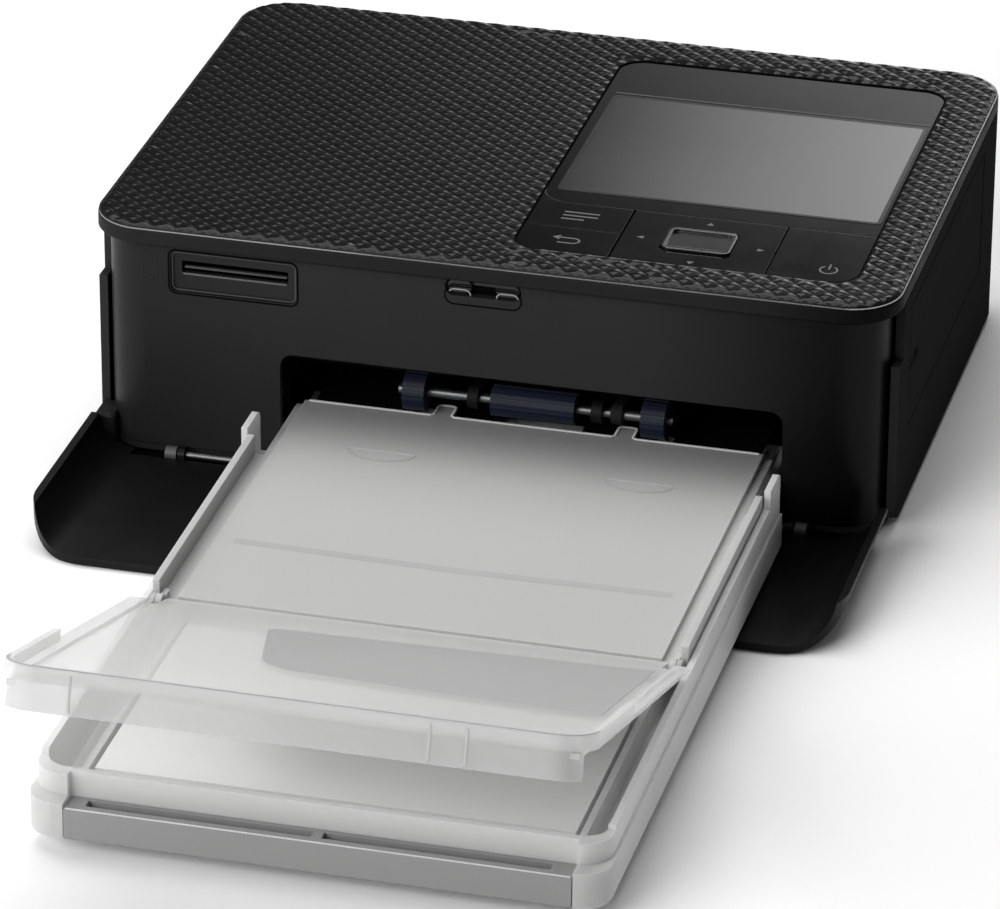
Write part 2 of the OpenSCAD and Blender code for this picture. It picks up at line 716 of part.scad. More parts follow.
module chassis_right_plate() placed() color("#b9bcbf")
    along_x(chassis_in1, plate_t) difference() {
        chassis_outline(chassis_y0 + 8);
        for (p = [grip, platen]) translate(p) circle(bearing_r);
        for (y = [takeup_y, supply_y]) translate([y, ink_z]) circle(barrel_r + 0.8);
        translate([takeup_y + 6, path_z + 0.5]) square([supply_y - takeup_y - 12, 11]);
    }

// Guides that lead the paper from the cassette to the rollers and on to the rear slot
module paper_guides() placed() color("#2b2b2d") {
    along_x(chassis_in0, chassis_in1 - chassis_in0)
        polygon([
            [neck_y1 + 0.5, guide_z1 - 2], [grip[0] - grip_r - 0.6, path_z - 2.2],
            [grip[0] - grip_r - 0.6, path_z - 3.4], [neck_y1 + 0.5, guide_z1 - 3.6]
        ]);
    along_x(chassis_in0, chassis_in1 - chassis_in0)
        translate([platen[0] + platen_r + 1, path_z - 1.6])
            square([chassis_y1 - platen[0] - platen_r - 1, 1.2]);
}

module shaft_brackets() placed() color("#1a1a1b") difference() {
    union() {
        for (x = bracket_x) along_x(x, bracket_t) {
            translate(pickup) circle(2.6);
            translate(drive) circle(2.6);
            translate([pickup[0], drive[1] - 0.6]) square([drive[0] - pickup[0],
                pickup[1] + 2 - drive[1]]);
            translate([drive[0] - 2.6, drive[1]]) square([5.2, 7]);
        }
        // Cross beam that hangs the brackets between the chassis plates
        box(chassis_in0, chassis_in1, drive[0] - 3.4, drive[0] + 1.2, drive[1] + 6.5,
            drive[1] + 8.5);
    }
    rod(-60, 80, pickup, 1.1 + fit);
    rod(-60, 80, drive, 1.5 + fit);
}

module shaft_bearings() placed() color("#c9a24a")
    for (x = [chassis_x0, chassis_in1], p = x == chassis_x0 ? [grip, platen, drive]
        : [grip, platen]) along_x(x, plate_t) translate(p) difference() {
            circle(bearing_r);
            circle((p == drive ? 1.5 : shaft_r) + fit);
        }

// Motor with a flange whose two legs stand on the chassis plate, at the given angles
module motor_can(at, r, len, angles) {
    face_x = gear_x - 2;
    rod(face_x - len, face_x, at, r);
    for (a = angles) {
        leg = at + (r + 2.5) * [cos(a), sin(a)];
        along_x(face_x - 1.2, 1.2) translate(at) rotate(a) translate([0, -2])
            square([r + 2.5, 4]);
        rod(face_x - 1.2, chassis_x0, leg, 2);
    }
}

module feed_motor() placed() color("#9a9da1") difference() {
    motor_can(feed_pin, 12, 20, [90, 270]);
    rod(gear_x - 4, gear_x, feed_pin, 1);
}

module ribbon_motor() placed() color("#9a9da1") difference() {
    motor_can(ribbon_pin, 7, 16, [40, 140]);
    rod(gear_x - 4, gear_x, ribbon_pin, 1);
}

module main_board() placed() color("#1f4a2c") {
    difference() {
        box(slot_x - pcb_w / 2, slot_x + pcb_w / 2, pcb_y0, pcb_y1, board_seat,
            board_seat + 1.6);
        for (p = pcb_holes) translate([p[0], p[1], board_seat - 1]) cylinder(r = 1.2, h = 4);
    }
    // Chips and capacitors
    for (i = [0 : 3]) box(slot_x - 38 + i * 19, slot_x - 26 + i * 19, pcb_y0 + 14,
        pcb_y1 - 22, board_seat + 1.6 - e, board_seat + 3);
    for (i = [0 : 4]) translate([slot_x - 30 + i * 14, pcb_y1 - 12, board_seat + 1.6 - e])
        cylinder(r = 2.2, h = 2.4);
}

module dc_jack() placed() color("#202022") {
    difference() {
        union() {
            box(jack_x - 4.5, jack_x + 4.5, body_d - wall - 11, body_d - wall - 0.1, 8.5, 17.5);
            translate([jack_x, body_d - wall - 1, 13]) rotate([-90, 0, 0])
                cylinder(r = 4, h = wall + 0.5);
        }
        translate([jack_x, body_d - wall - 9, 13]) rotate([-90, 0, 0]) cylinder(r = 2.75, h = 20);
    }
    translate([jack_x, body_d - wall - 9.5, 13]) rotate([-90, 0, 0]) cylinder(r = 0.8, h = 10);
}

module usb_port() placed() color("#b9bcbf") difference() {
    along_y(body_d - wall - 7, wall + 6.6) round_rect(usb_x - 4.5, usb_x + 4.5, 11.3, 14.7, 1.6);
    along_y(body_d - wall - 6, wall + 10) difference() {
        round_rect(usb_x - 4.1, usb_x + 4.1, 11.7, 14.3, 1.25);
        translate([usb_x - 3.3, 12.65]) square([6.6, 0.7]);
    }
}

// ---- Ink cassette ----

// End plate of the ink cassette in (Y, Z): two rings tied by a low bar
module ink_end() {
    difference() {
        union() {
            for (y = [takeup_y, supply_y]) translate([y, ink_z]) circle(barrel_r);
            translate([takeup_y + 7, path_z + head_gap]) square([supply_y - takeup_y - 14, 3.2]);
            for (y = [takeup_y + 7, supply_y - 13]) translate([y, path_z + head_gap])
                square([6, ink_z - path_z - head_gap - 4]);
        }
        for (y = [takeup_y, supply_y]) translate([y, ink_z]) circle(3 + fit);
    }
}

module ink_cassette_shell() placed() color("#3a3c40") {
    for (x = [ink_x0, ink_x1 - ink_t]) along_x(x, ink_t) ink_end();
    // Barrels with a mouth that lets the ribbon out
    for (y = [takeup_y, supply_y]) along_x(ink_x0 + ink_t - e, ink_x1 - ink_x0 - 2 * ink_t + 2 * e)
        translate([y, ink_z]) difference() {
            circle(barrel_r);
            circle(barrel_r - 1.2);
            rotate(y == takeup_y ? -52 : -128) translate([0, -1]) square([20, 2]);
        }
}

module spool(y, drive_end) {
    rod(ink_x0 - (drive_end ? 5.4 : 3.6), ink_x1 - 0.6, [y, ink_z], 3);
    rod(slot_x - roll_half, slot_x + roll_half, [y, ink_z], 7.5);
}

module supply_spool() placed() color("#d9b13a") spool(supply_y, false);

module takeup_spool() placed() color("#e4e4e0") {
    spool(takeup_y, true);
    rod(gear_x, ink_x0 - 5, [takeup_y, ink_z], 2);
}

// Film from one barrel's mouth under the head to the other's
module ink_ribbon() placed() color("#7a2f5a") {
    low = path_z + head_gap - 0.35;
    along_x(slot_x - roll_half, 2 * roll_half) polygon([
        [takeup_y + 8.2, ink_z - 10.4], [head_y0 - 1, low + 0.15], [head_y1 + 1, low + 0.15],
        [supply_y - 8.2, ink_z - 10.4], [supply_y - 8.2, ink_z - 10.6], [head_y1 + 1, low],
        [head_y0 - 1, low], [takeup_y + 8.2, ink_z - 10.6]
    ]);
}

// ---- Head and rollers ----

module thermal_head() placed() color("#d8d4c8") {
    z0 = path_z + head_gap;
    along_x(slot_x - head_w / 2, head_w) polygon([
        [head_y0 + 3, z0], [head_y1 - 3, z0], [head_y1, z0 + 4], [head_y1, z0 + 15],
        [head_y0, z0 + 15], [head_y0, z0 + 4]
    ]);
}

module heat_sink() placed() color("#aeb2b5") {
    z0 = path_z + head_gap + 15;
    box(chassis_in0 + clear, chassis_in1 - clear, head_y0, head_y1, z0, z0 + 3);
    for (i = [0 : 4]) box(chassis_in0 + 4, chassis_in1 - 4, head_y0 + i * 2.7,
        head_y0 + i * 2.7 + 1.2, z0 + 3 - e, z0 + 8.5);
}

module platen_shaft() placed() color("silver")
    rod(chassis_x0 + 0.1, chassis_x1 - 0.1, platen, shaft_r);

module platen_sleeve() placed() color("#1d1d1f")
    along_x(slot_x - 54, 108) translate(platen) difference() {
        circle(platen_r);
        circle(shaft_r);
    }

module grip_roller() placed() color("#8f9296") {
    rod(gear_x - 0.6, chassis_x1 - 0.1, grip, shaft_r);
    rod(slot_x - 54, slot_x + 54, grip, grip_r);
}

module pinch_roller() placed() color("#3a3a3c") {
    rod(chassis_x0 + 0.1, chassis_in1 - 0.3, pinch, 0.8);
    rod(slot_x - 54, slot_x + 54, pinch, pinch_r);
}

module grip_gear() placed() color("#ece9df") gear(grip, grip_teeth, 0, shaft_r);

module idler_gear() placed() color("#ece9df") gear(idler, idler_teeth, idler_phase, 2 + fit);

module motor_pinion() placed() color("#c9a24a") {
    gear(feed_pin, pinion_teeth, pinion_phase, 0.9);
    rod(gear_x - 3, gear_x + gear_w, feed_pin, 0.9);
}

module takeup_gear() placed() color("#ece9df")
    gear([takeup_y, ink_z], takeup_teeth, 0, 2);

module ribbon_pinion() placed() color("#c9a24a") {
    gear(ribbon_pin, pinion_teeth, ribbon_phase, 0.9);
    rod(gear_x - 3, gear_x + gear_w, ribbon_pin, 0.9);
}

module pickup_shaft() placed() color("silver") rod(slot_x - 31, pulley_x + pulley_w + 11,
    pickup, 1.1);

// Ribbed rollers with a pulley, all fixed on the pickup shaft
module pickup_rollers() placed() color("#20263c") {
    for (r = [[slot_x - 29.5, 5, pickup_r], [slot_x + 24.7, 5.4, pickup_r],
        [slot_x - 9.5, 19, pickup_r - 0.9]])
        along_x(r[0], r[1]) translate(pickup) difference() {
            union() {
                circle(r[2] - 0.3);
                for (i = [0 : 17]) rotate(i * 20) translate([r[2] - 0.6, -0.35])
                    square([0.6, 0.7]);
            }
            circle(1.1);
        }
    along_x(pulley_x, pulley_w) translate(pickup) difference() {
        circle(pulley_r - belt_t);
        circle(1.1);
    }
}

module pickup_drive_shaft() placed() color("silver") {
    rod(gear_x - 0.6, pulley_x + pulley_w + 0.6, drive, 1.5);
    rod(pulley_x, pulley_x + pulley_w, drive, pulley_r - belt_t);
}

module pickup_drive_gear() placed() color("#ece9df")
    gear(drive, drive_teeth, drive_phase, 1.5);

module drive_belt() placed() color("#141414") {
    ang = atan2(drive[1] - pickup[1], drive[0] - pickup[0]);
    run = norm(drive - pickup);
    along_x(pulley_x + 0.3, pulley_w - 0.6) translate(pickup) rotate(ang) difference() {
        union() {
            circle(pulley_r);
            translate([run, 0]) circle(pulley_r);
            translate([0, -pulley_r]) square([run, 2 * pulley_r]);
        }
        circle(pulley_r - belt_t + fit);
        translate([run, 0]) circle(pulley_r - belt_t + fit);
        translate([0, belt_t - pulley_r - fit]) square([run, 2 * (pulley_r - belt_t + fit)]);
    }
}

// ---- Ink door and eject lever ----

module ink_door() placed() color("#151516") {
    y0 = door_y0 + door_gap;
    z0 = door_z0 + door_gap;
    z1 = door_z1 - door_gap;
    difference() {
        union() {
            box(side_x, half_w, y0, door_axis[1], z0, z1);
            // Rounded hinge edge
            translate([door_axis[0], door_axis[1], z0])
                cylinder(r = half_w - door_axis[0], h = z1 - z0);
        }
        // Finger recess at the free edge
        translate([half_w + 1.2, y0, (z0 + z1) / 2]) rotate([-90, 0, 0])
            cylinder(r = 2, h = 9);
    }
    translate([door_axis[0], door_axis[1], z0 - 2]) cylinder(r = door_pin_r, h = z1 - z0 + 4);
}

module eject_lever() placed() color("#e0e0dc") {
    box(chassis_x1 + clear, chassis_x1 + clear + 1.4, 57, 71, ink_z - 1, ink_z + 7);
    box(chassis_x1 + clear + 1.4 - e, lever_x1, 62, 66, ink_z + 1, ink_z + 5);
}

// ---- Paper cassette ----

// Outline of the cassette seen from above: the wide part ends at back, its neck at rear
module cas_outline(half, front, back, neck_half, rear, r) {
    round_rect(slot_x - half, slot_x + half, front, front + 3 * r, r);
    translate([slot_x - half, front + r]) square([2 * half, back - front - r]);
    translate([slot_x - neck_half, back - 1]) square([2 * neck_half, rear - back + 1]);
}

module cassette_base() placed() color([0.8, 0.8, 0.8]) {
    half = cas_w / 2;
    up = half - rim_proud;
    neck = neck_w / 2;
    rim_z1 = cas_z0 + rim_h;
    difference() {
        union() {
            // Lower rim with the floor
            translate([0, 0, cas_z0]) linear_extrude(rim_h)
                cas_outline(half, cas_front, lug_y1, neck, neck_y1, 6);
            // Upper walls
            translate([0, 0, rim_z1 - e]) linear_extrude(cas_wall_z1 - rim_z1 + e)
                cas_outline(up, upper_front, lug_y0, neck, lid_rear - 1.5, 6);
            // Stop lugs with a rounded upper corner
            for (s = [-1, 1]) along_x(slot_x + s * (up - cas_wall / 2) - cas_wall / 2, cas_wall) {
                translate([lug_y0, rim_z1 - 2]) square([lug_y1 - lug_y0, lug_h - rim_h]);
                translate([lug_y0, rim_z1 - 2]) square([lug_y1 - lug_y0 - 2, lug_h - rim_h + 2]);
                translate([lug_y1 - 2, cas_z0 + lug_h - 2]) circle(2);
            }
        }
        // Hollow of the lower rim, then of the upper walls
        translate([0, 0, cas_z0 + cas_t]) linear_extrude(rim_h)
            cas_outline(up - cas_wall, front_wall_y + 1.6, lug_y1 - cas_wall, neck - cas_wall,
                neck_y1 - cas_wall, 5);
        translate([0, 0, rim_z1 - 0.5]) linear_extrude(20)
            cas_outline(up - cas_wall, front_wall_y + 1.6, lug_y0 + 0.5, neck - cas_wall,
                neck_y1 - cas_wall, 5);
        // The neck's walls step down under the lid and again behind it
        box(neck_x0 - 1, neck_x1 + 1, lug_y0 - 0.6, neck_y1 + 1, neck_wall_z1, 60);
        box(neck_x0 - 1, neck_x1 + 1, lid_rear - 1.5, neck_y1 + 1, guide_z1, 60);
        // The front walls are lower, so that the flap's floor closes over them
        box(cas_x0 - 1, cas_x1 + 1, cas_front - 1, upper_front + 7, front_wall_z1, 60);
        // Space of the grey bar
        box(bar_x0 - 0.2, bar_x1 + 0.2, cas_front - 1, front_wall_y, cas_z0 - 1, cas_z0 + 30);
    }
    // Paper guides, and a rib in the middle of the front wall
    for (s = [-1, 1]) translate([slot_x + s * (guide_x + guide_t / 2), 0, cas_z0 + cas_t - e])
        linear_extrude(guide_z1 - cas_z0 - cas_t + e)
            square_y(guide_t, front_wall_y + 6, neck_y1 - cas_wall + e);
    box(slot_x - 0.6, slot_x + 0.6, front_wall_y + 1.6 - e, front_wall_y + 5,
        cas_z0 + cas_t - e, cas_z0 + 9);
}

// A strip centred on x = 0 from y0 to y1
module square_y(w, y0, y1) {
    translate([-w / 2, y0]) square([w, y1 - y0]);
}

module cassette_bar() placed() color([0.3, 0.3, 0.3]) difference() {
    box(bar_x0, bar_x1, cas_front, front_wall_y - 0.05, cas_z0, cas_z0 + bar_h);
    // Groove along its top
    for (x = [bar_x0 + 4, slot_x + 1.5]) box(x, x + (bar_x1 - bar_x0) / 2 - 5.5,
        cas_front + 2.2, front_wall_y - 1, cas_z0 + bar_h - 2, cas_z0 + 30);
}

module cassette_lid() placed() color([0.85, 0.85, 0.86]) {
    z0 = lid_z1 - lid_t;
    shelf = neck_w / 2 - 0.3;
    plate = shelf - 3;
    rim = rim_in;
    hinge_edge = flap_hinge_y + flap_ear_r + 0.6;
    difference() {
        union() {
            // Plate with two tabs at its rear edge
            box(slot_x - plate, slot_x + plate, hinge_edge, lid_rear, z0, lid_z1);
            for (s = [-1, 1]) box(slot_x + (s < 0 ? -tab_x[1] : tab_x[0]),
                slot_x + (s < 0 ? -tab_x[0] : tab_x[1]), lid_rear - e, lid_rear + tab_l,
                z0, lid_z1);
            // Side shelves, one step lower
            for (s = [-1, 1]) {
                translate([slot_x + s * (plate + shelf) / 2, 0, z0 - shelf_drop])
                    linear_extrude(lid_t) square_y(shelf - plate + 2 * e, hinge_edge,
                        lid_rear);
                translate([slot_x + s * (plate + 0.5), 0, z0 - shelf_drop])
                    linear_extrude(lid_t + shelf_drop) square_y(1, hinge_edge, lid_rear);
                // Wide shelf and the rim in front of the lugs
                translate([slot_x + s * (shelf + rim) / 2, 0, z0 - shelf_drop])
                    linear_extrude(lid_t) square_y(rim - shelf + 2 * e, hinge_edge,
                        lug_y0 - 0.4);
                translate([slot_x + s * (rim - rim_t / 2), 0, z0 - shelf_drop])
                    linear_extrude(rim_top - z0 + shelf_drop) square_y(rim_t, hinge_edge,
                        lug_y0 - 0.4);
                // Ears that hold the flap's pins
                along_x(slot_x + (s < 0 ? -flap_ear_x0 - flap_ear_t : flap_ear_x0),
                    flap_ear_t) {
                    translate([flap_hinge_y, flap_hinge_z]) circle(flap_ear_r);
                    translate([flap_hinge_y, z0 - shelf_drop])
                        square([flap_ear_r + 3, lid_t + shelf_drop + 0.3]);
                }
            }
        }
        rod(slot_x - 80, slot_x + 80, [flap_hinge_y, flap_hinge_z], flap_pin_r + fit);
    }
}

// The flap lying flat, measured from its hinge axis
module flap_flat() {
    half = cas_w / 2;
    inside = rim_in;
    wall_t = 1.5;
    low = flap_top - flap_wall_h;
    z0 = flap_z0;
    ledge_z1 = flap_ledge_z0 + flap_ledge_t;
    translate([slot_x, 0, 0]) {
        // Floor with its hinge end
        box(-inside, inside, 1 - flap_len, -6, z0, z0 + flap_t);
        box(0.6 - flap_ear_x0, flap_ear_x0 - 0.6, -7, 1, z0, z0 + flap_t);
        // Ledges that close over the cassette's side walls
        for (s = [-1, 1]) {
            translate([s * (inside - 0.6), 0, z0]) linear_extrude(ledge_z1 - z0)
                square_y(1.2, flap_r - flap_len, -6);
            translate([s * (half + inside - 1.2) / 2, 0, flap_ledge_z0])
                linear_extrude(flap_ledge_t)
                    square_y(half - inside + 1.2, flap_r - flap_len, -6);
        }
        // Front wall and gussets
        intersection() {
            translate([0, 0, low]) linear_extrude(flap_wall_h) difference() {
                round_rect(-half, half, -flap_len, 20, flap_r);
                round_rect(wall_t - half, half - wall_t, wall_t - flap_len, 19,
                    flap_r - wall_t);
            }
            union() {
                box(-half, half, -flap_len, 3 - flap_len, low - 1, flap_ledge_z0 + 1);
                box(-half, half, -flap_len, gusset_l - flap_len, flap_ledge_z0, flap_top + 1);
            }
        }
        // Floor's rounded front corners
        intersection() {
            translate([0, 0, flap_ledge_z0]) linear_extrude(flap_ledge_t)
                round_rect(-half, half, -flap_len, 20, flap_r);
            box(-half, half, -flap_len, flap_r - flap_len + e, 0, 10);
        }
        // Ribs inside the front wall
        for (x = [-43, 32, 40]) box(x, x + 0.8, wall_t - flap_len - e, 4 - flap_len,
            z0 + flap_t - e, flap_top - 0.8);
        // Hinge arms and pins
        for (s = [-1, 1]) {
            x0 = flap_ear_x0 + flap_ear_t + 0.2;
            along_x(s < 0 ? -x0 - 1 : x0, 1) {
                circle(flap_ear_r);
                translate([-7, -0.7]) square([7, 1.6]);
            }
            rod(s < 0 ? -x0 - e : flap_ear_x0 + 0.1, s < 0 ? -flap_ear_x0 - 0.1 : x0 + e,
                [0, 0], flap_pin_r);
        }
    }
}

module lid_flap() placed() color([0.85, 0.85, 0.86])
    translate([0, flap_hinge_y, flap_hinge_z]) rotate([-flap_tilt, 0, 0]) flap_flat();

plate_z1 = cas_z0 + cas_t + 0.9;

module lift_plate() placed() color("#9ea1a4")
    box(slot_x - paper_w / 2 + 2, slot_x + paper_w / 2 - 2, paper_y1 - paper_l, paper_y1 - 0.5,
        cas_z0 + cas_t + 0.1, plate_z1);

module paper_stack() placed() color("white")
    box(slot_x - paper_w / 2, slot_x + paper_w / 2, paper_y1 - paper_l, paper_y1,
        plate_z1, plate_z1 + paper_h);

top_cover();
control_window();
lcd_module();
control_board();
key_switches();
front_fascia();
side_panel_left();
side_panel_right();
rear_panel();
bottom_cover();
feet();
case_screws();
card_reader();
latch_tabs();
cover_hinge_pins();
cover_hinge_bushes();
chassis_left_plate();
chassis_right_plate();
paper_guides();
shaft_brackets();
feed_motor();
ribbon_motor();
main_board();
dc_jack();
usb_port();
ink_cassette_shell();
ink_ribbon();
shaft_bearings();
thermal_head();
heat_sink();
supply_spool();
takeup_spool();
takeup_gear();
ribbon_pinion();
platen_shaft();
platen_sleeve();
grip_roller();
grip_gear();
pinch_roller();
idler_gear();
motor_pinion();
pickup_shaft();
pickup_rollers();
pickup_drive_shaft();
pickup_drive_gear();
drive_belt();
front_cover();
ink_door();
eject_lever();
menu_key();
back_key();
direction_pad();
ok_key();
power_key();
cassette_base();
cassette_bar();
cassette_lid();
lid_flap();
lift_plate();
paper_stack();
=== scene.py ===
import json
import math

import bpy
import bmesh
from mathutils import Matrix, Vector

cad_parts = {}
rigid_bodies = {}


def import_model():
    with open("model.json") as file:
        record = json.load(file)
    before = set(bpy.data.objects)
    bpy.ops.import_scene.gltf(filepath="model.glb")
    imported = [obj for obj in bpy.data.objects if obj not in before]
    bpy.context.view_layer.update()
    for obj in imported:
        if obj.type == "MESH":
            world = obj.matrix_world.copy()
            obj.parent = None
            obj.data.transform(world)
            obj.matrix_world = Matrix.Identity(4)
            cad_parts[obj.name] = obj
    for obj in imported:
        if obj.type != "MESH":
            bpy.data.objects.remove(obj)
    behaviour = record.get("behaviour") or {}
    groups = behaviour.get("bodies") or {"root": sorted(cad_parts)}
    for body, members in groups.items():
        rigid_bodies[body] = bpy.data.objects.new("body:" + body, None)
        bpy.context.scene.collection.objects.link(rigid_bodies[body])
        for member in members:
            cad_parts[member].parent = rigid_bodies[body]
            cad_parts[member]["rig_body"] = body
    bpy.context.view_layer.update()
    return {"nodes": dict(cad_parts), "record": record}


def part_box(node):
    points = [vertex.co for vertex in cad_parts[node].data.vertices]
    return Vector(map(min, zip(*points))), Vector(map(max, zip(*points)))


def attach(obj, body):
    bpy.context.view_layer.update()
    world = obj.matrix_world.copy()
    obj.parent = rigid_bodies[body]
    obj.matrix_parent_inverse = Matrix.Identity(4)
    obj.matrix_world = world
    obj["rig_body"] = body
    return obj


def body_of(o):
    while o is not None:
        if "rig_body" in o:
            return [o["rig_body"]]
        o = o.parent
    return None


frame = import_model()

# ---------------------------------------------------------------- sizes, in millimetres
# x runs to the viewer's right from the middle of the body, y back from the front edge of the
# top cover, z up from the table. V() turns such a place into the frame's metres.
MM = 0.001
BODY_HALF_W = 91.1
BODY_D = 133.0
TOP_Z = 57.6                            # flat part of the top cover
TOP_R = 12                              # corners of the top cover, seen from above
TOP_RIM_R = 1.4                         # its rounded rim
WINDOW = (2.75, 80.25, 11.55, 119.75)   # control panel: x from, x to, y from, y to
WINDOW_R = 6.25
KEY_Z = 57.45                           # upper face of all keys but the OK key
RECESS_Y = 3.5                          # floor of the recesses in the front fascia
LID_X0, LID_X1 = -41.2, 61.2            # cassette lid between its side flanges
LID_Z = 17.0                            # its upper face
LID_MID_X = (LID_X0 + LID_X1) / 2
FLAP_AXIS_Y, FLAP_AXIS_Z = -94, 16.3    # hinge of the raised flap
FLAP_TILT = math.radians(17.4)

# The frame's y of the top cover's front edge, in metres
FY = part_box("rear_panel")[1].y - BODY_D * MM


def V(x, y, z):
    return Vector((x * MM, y * MM + FY, z * MM))


def add_object(name, data):
    o = bpy.data.objects.new(name, data)
    bpy.context.scene.collection.objects.link(o)
    return o


# ---------------------------------------------------------------- camera
CAM_AT = (320, -1236, 652)
CAM_AZ, CAM_EL, CAM_ROLL = math.radians(14.93), math.radians(27.25), math.radians(0.10)
FOCAL_PX, PICTURE_W, SENSOR_W = 6464, 1000, 36

cam_data = bpy.data.cameras.new("view")
cam = add_object("view", cam_data)
forward = Vector((-math.sin(CAM_AZ) * math.cos(CAM_EL), math.cos(CAM_AZ) * math.cos(CAM_EL),
                  -math.sin(CAM_EL)))
level_right = forward.cross(Vector((0, 0, 1))).normalized()
level_up = level_right.cross(forward)
cam_right = level_right * math.cos(CAM_ROLL) + level_up * math.sin(CAM_ROLL)
cam_up = level_up * math.cos(CAM_ROLL) - level_right * math.sin(CAM_ROLL)
rotation = Matrix((cam_right, cam_up, -forward)).transposed().to_4x4()
cam.matrix_world = Matrix.Translation(V(*CAM_AT)) @ rotation
cam_data.sensor_fit = "HORIZONTAL"
cam_data.sensor_width = SENSOR_W
cam_data.lens = FOCAL_PX / PICTURE_W * SENSOR_W
cam_data.shift_x = 0.06
cam_data.shift_y = 0.0695
cam_data.clip_start = 0.05
cam_data.clip_end = 50
bpy.context.scene.camera = cam


# ---------------------------------------------------------------- material helpers
class Nodes:
    """A small helper round one material's node tree; patterns use object coordinates."""

    def __init__(self, name):
        self.mat = bpy.data.materials.new(name)
        self.mat.use_nodes = True
        self.t = self.mat.node_tree
        self.t.nodes.clear()
        self.out = self.add("ShaderNodeOutputMaterial")
        self.bsdf = self.add("ShaderNodeBsdfPrincipled")
        self.link(self.bsdf, "BSDF", self.out, "Surface")
        self.coord = self.add("ShaderNodeTexCoord")

    def add(self, kind, **props):
        n = self.t.nodes.new(kind)
        for k, v in props.items():
            setattr(n, k, v)
        return n

    def link(self, a, out, b, inp):
        self.t.links.new(a.outputs[out], b.inputs[inp])

    def noise(self, scale, detail, rough=0.6, stretch=(1, 1, 1)):
        m = self.add("ShaderNodeMapping")
        m.inputs["Scale"].default_value = stretch
        self.link(self.coord, "Object", m, "Vector")
        n = self.add("ShaderNodeTexNoise")
        n.inputs["Scale"].default_value = scale
        n.inputs["Detail"].default_value = detail
        n.inputs["Roughness"].default_value = rough
        self.link(m, "Vector", n, "Vector")
        return n

    def span(self, src, out, lo, hi, a, b):
        """Map a...b of a value to lo...hi."""
        r = self.add("ShaderNodeMapRange")
        r.inputs["From Min"].default_value = a
        r.inputs["From Max"].default_value = b
        r.inputs["To Min"].default_value = lo
        r.inputs["To Max"].default_value = hi
        self.link(src, out, r, "Value")
        return r

    def bump(self, height, strength, distance, normal=None):
        b = self.add("ShaderNodeBump")
        b.inputs["Strength"].default_value = strength
        b.inputs["Distance"].default_value = distance
        self.link(height, "Fac", b, "Height")
        if normal is not None:
            self.link(normal, "Normal", b, "Normal")
        self.link(b, "Normal", self.bsdf, "Normal")

    def bevel(self, radius):
        b = self.add("ShaderNodeBevel", samples=4)
        b.inputs["Radius"].default_value = radius
        return b

    def mix(self, fac, fac_out, c1, c2):
        m = self.add("ShaderNodeMix", data_type="RGBA")
        m.inputs["A"].default_value = (*c1, 1)
        m.inputs["B"].default_value = (*c2, 1)
        self.link(fac, fac_out, m, "Factor")
        return m

    def roughness(self, src, lo, hi):
        self.link(self.span(src, "Fac", lo, hi, 0.3, 0.7), "Result", self.bsdf, "Roughness")

    def base_color(self, mix):
        self.t.links.new(color_of(mix), self.bsdf.inputs["Base Color"])


def color_of(mix):
    """The colour output of a Mix node; its outputs share one name."""
    return [o for o in mix.outputs if o.type == "RGBA"][0]


def shade(n, col, axis, stops):
    """Multiply a colour by smooth changes along one axis, which paints shade into it.

    A stop is (from, to, low, high): the factor goes from low to high between two places, which
    are given in metres.
    """
    sep = n.add("ShaderNodeSeparateXYZ")
    n.link(n.coord, "Object", sep, "Vector")
    for a, b, lo, hi in stops:
        r = n.span(sep, axis, lo, hi, a, b)
        r.interpolation_type = "SMOOTHSTEP"
        m = n.add("ShaderNodeMix", data_type="RGBA", blend_type="MULTIPLY")
        m.inputs["Factor"].default_value = 1.0
        n.t.links.new(color_of(col), m.inputs["A"])
        n.link(r, "Result", m, "B")
        col = m
    return col


def plastic(name, color, rough, grain=900, grain_depth=0.00002, vary=0.12, coat=0.0, edge=0.00025,
            spec=0.5, rough_vary=0.06, axis="", stops=()):
    """Moulded plastic: a fine grain, slight patches in colour and gloss, rounded edges, and painted
    shade where stops are given.
    """
    n = Nodes(name)
    hi = tuple(min(1, c * (1 + vary) + 0.001) for c in color)
    lo = tuple(c * (1 - vary) for c in color)
    col = n.mix(n.noise(28, 4), "Fac", lo, hi)
    n.base_color(shade(n, col, axis, stops) if stops else col)
    n.roughness(n.noise(60, 5, 0.7), rough - rough_vary, rough + rough_vary)
    n.bump(n.noise(grain, 2), 0.35, grain_depth, n.bevel(edge) if edge else None)
    n.bsdf.inputs["Specular IOR Level"].default_value = spec
    if coat:
        n.bsdf.inputs["Coat Weight"].default_value = coat
        n.bsdf.inputs["Coat Roughness"].default_value = 0.08
    return n.mat


def metal(name, color, rough):
    """Metal with a fine brushed grain along x."""
    n = Nodes(name)
    n.bsdf.inputs["Metallic"].default_value = 1.0
    brush = n.noise(300, 4, 0.6, (1, 30, 30))
    hi = tuple(min(1, c * 1.08) for c in color)
    lo = tuple(c * 0.88 for c in color)
    n.base_color(n.mix(brush, "Fac", lo, hi))
    n.roughness(brush, rough * 0.8, rough * 1.25)
    n.bump(brush, 0.25, 0.00002)
    return n.mat


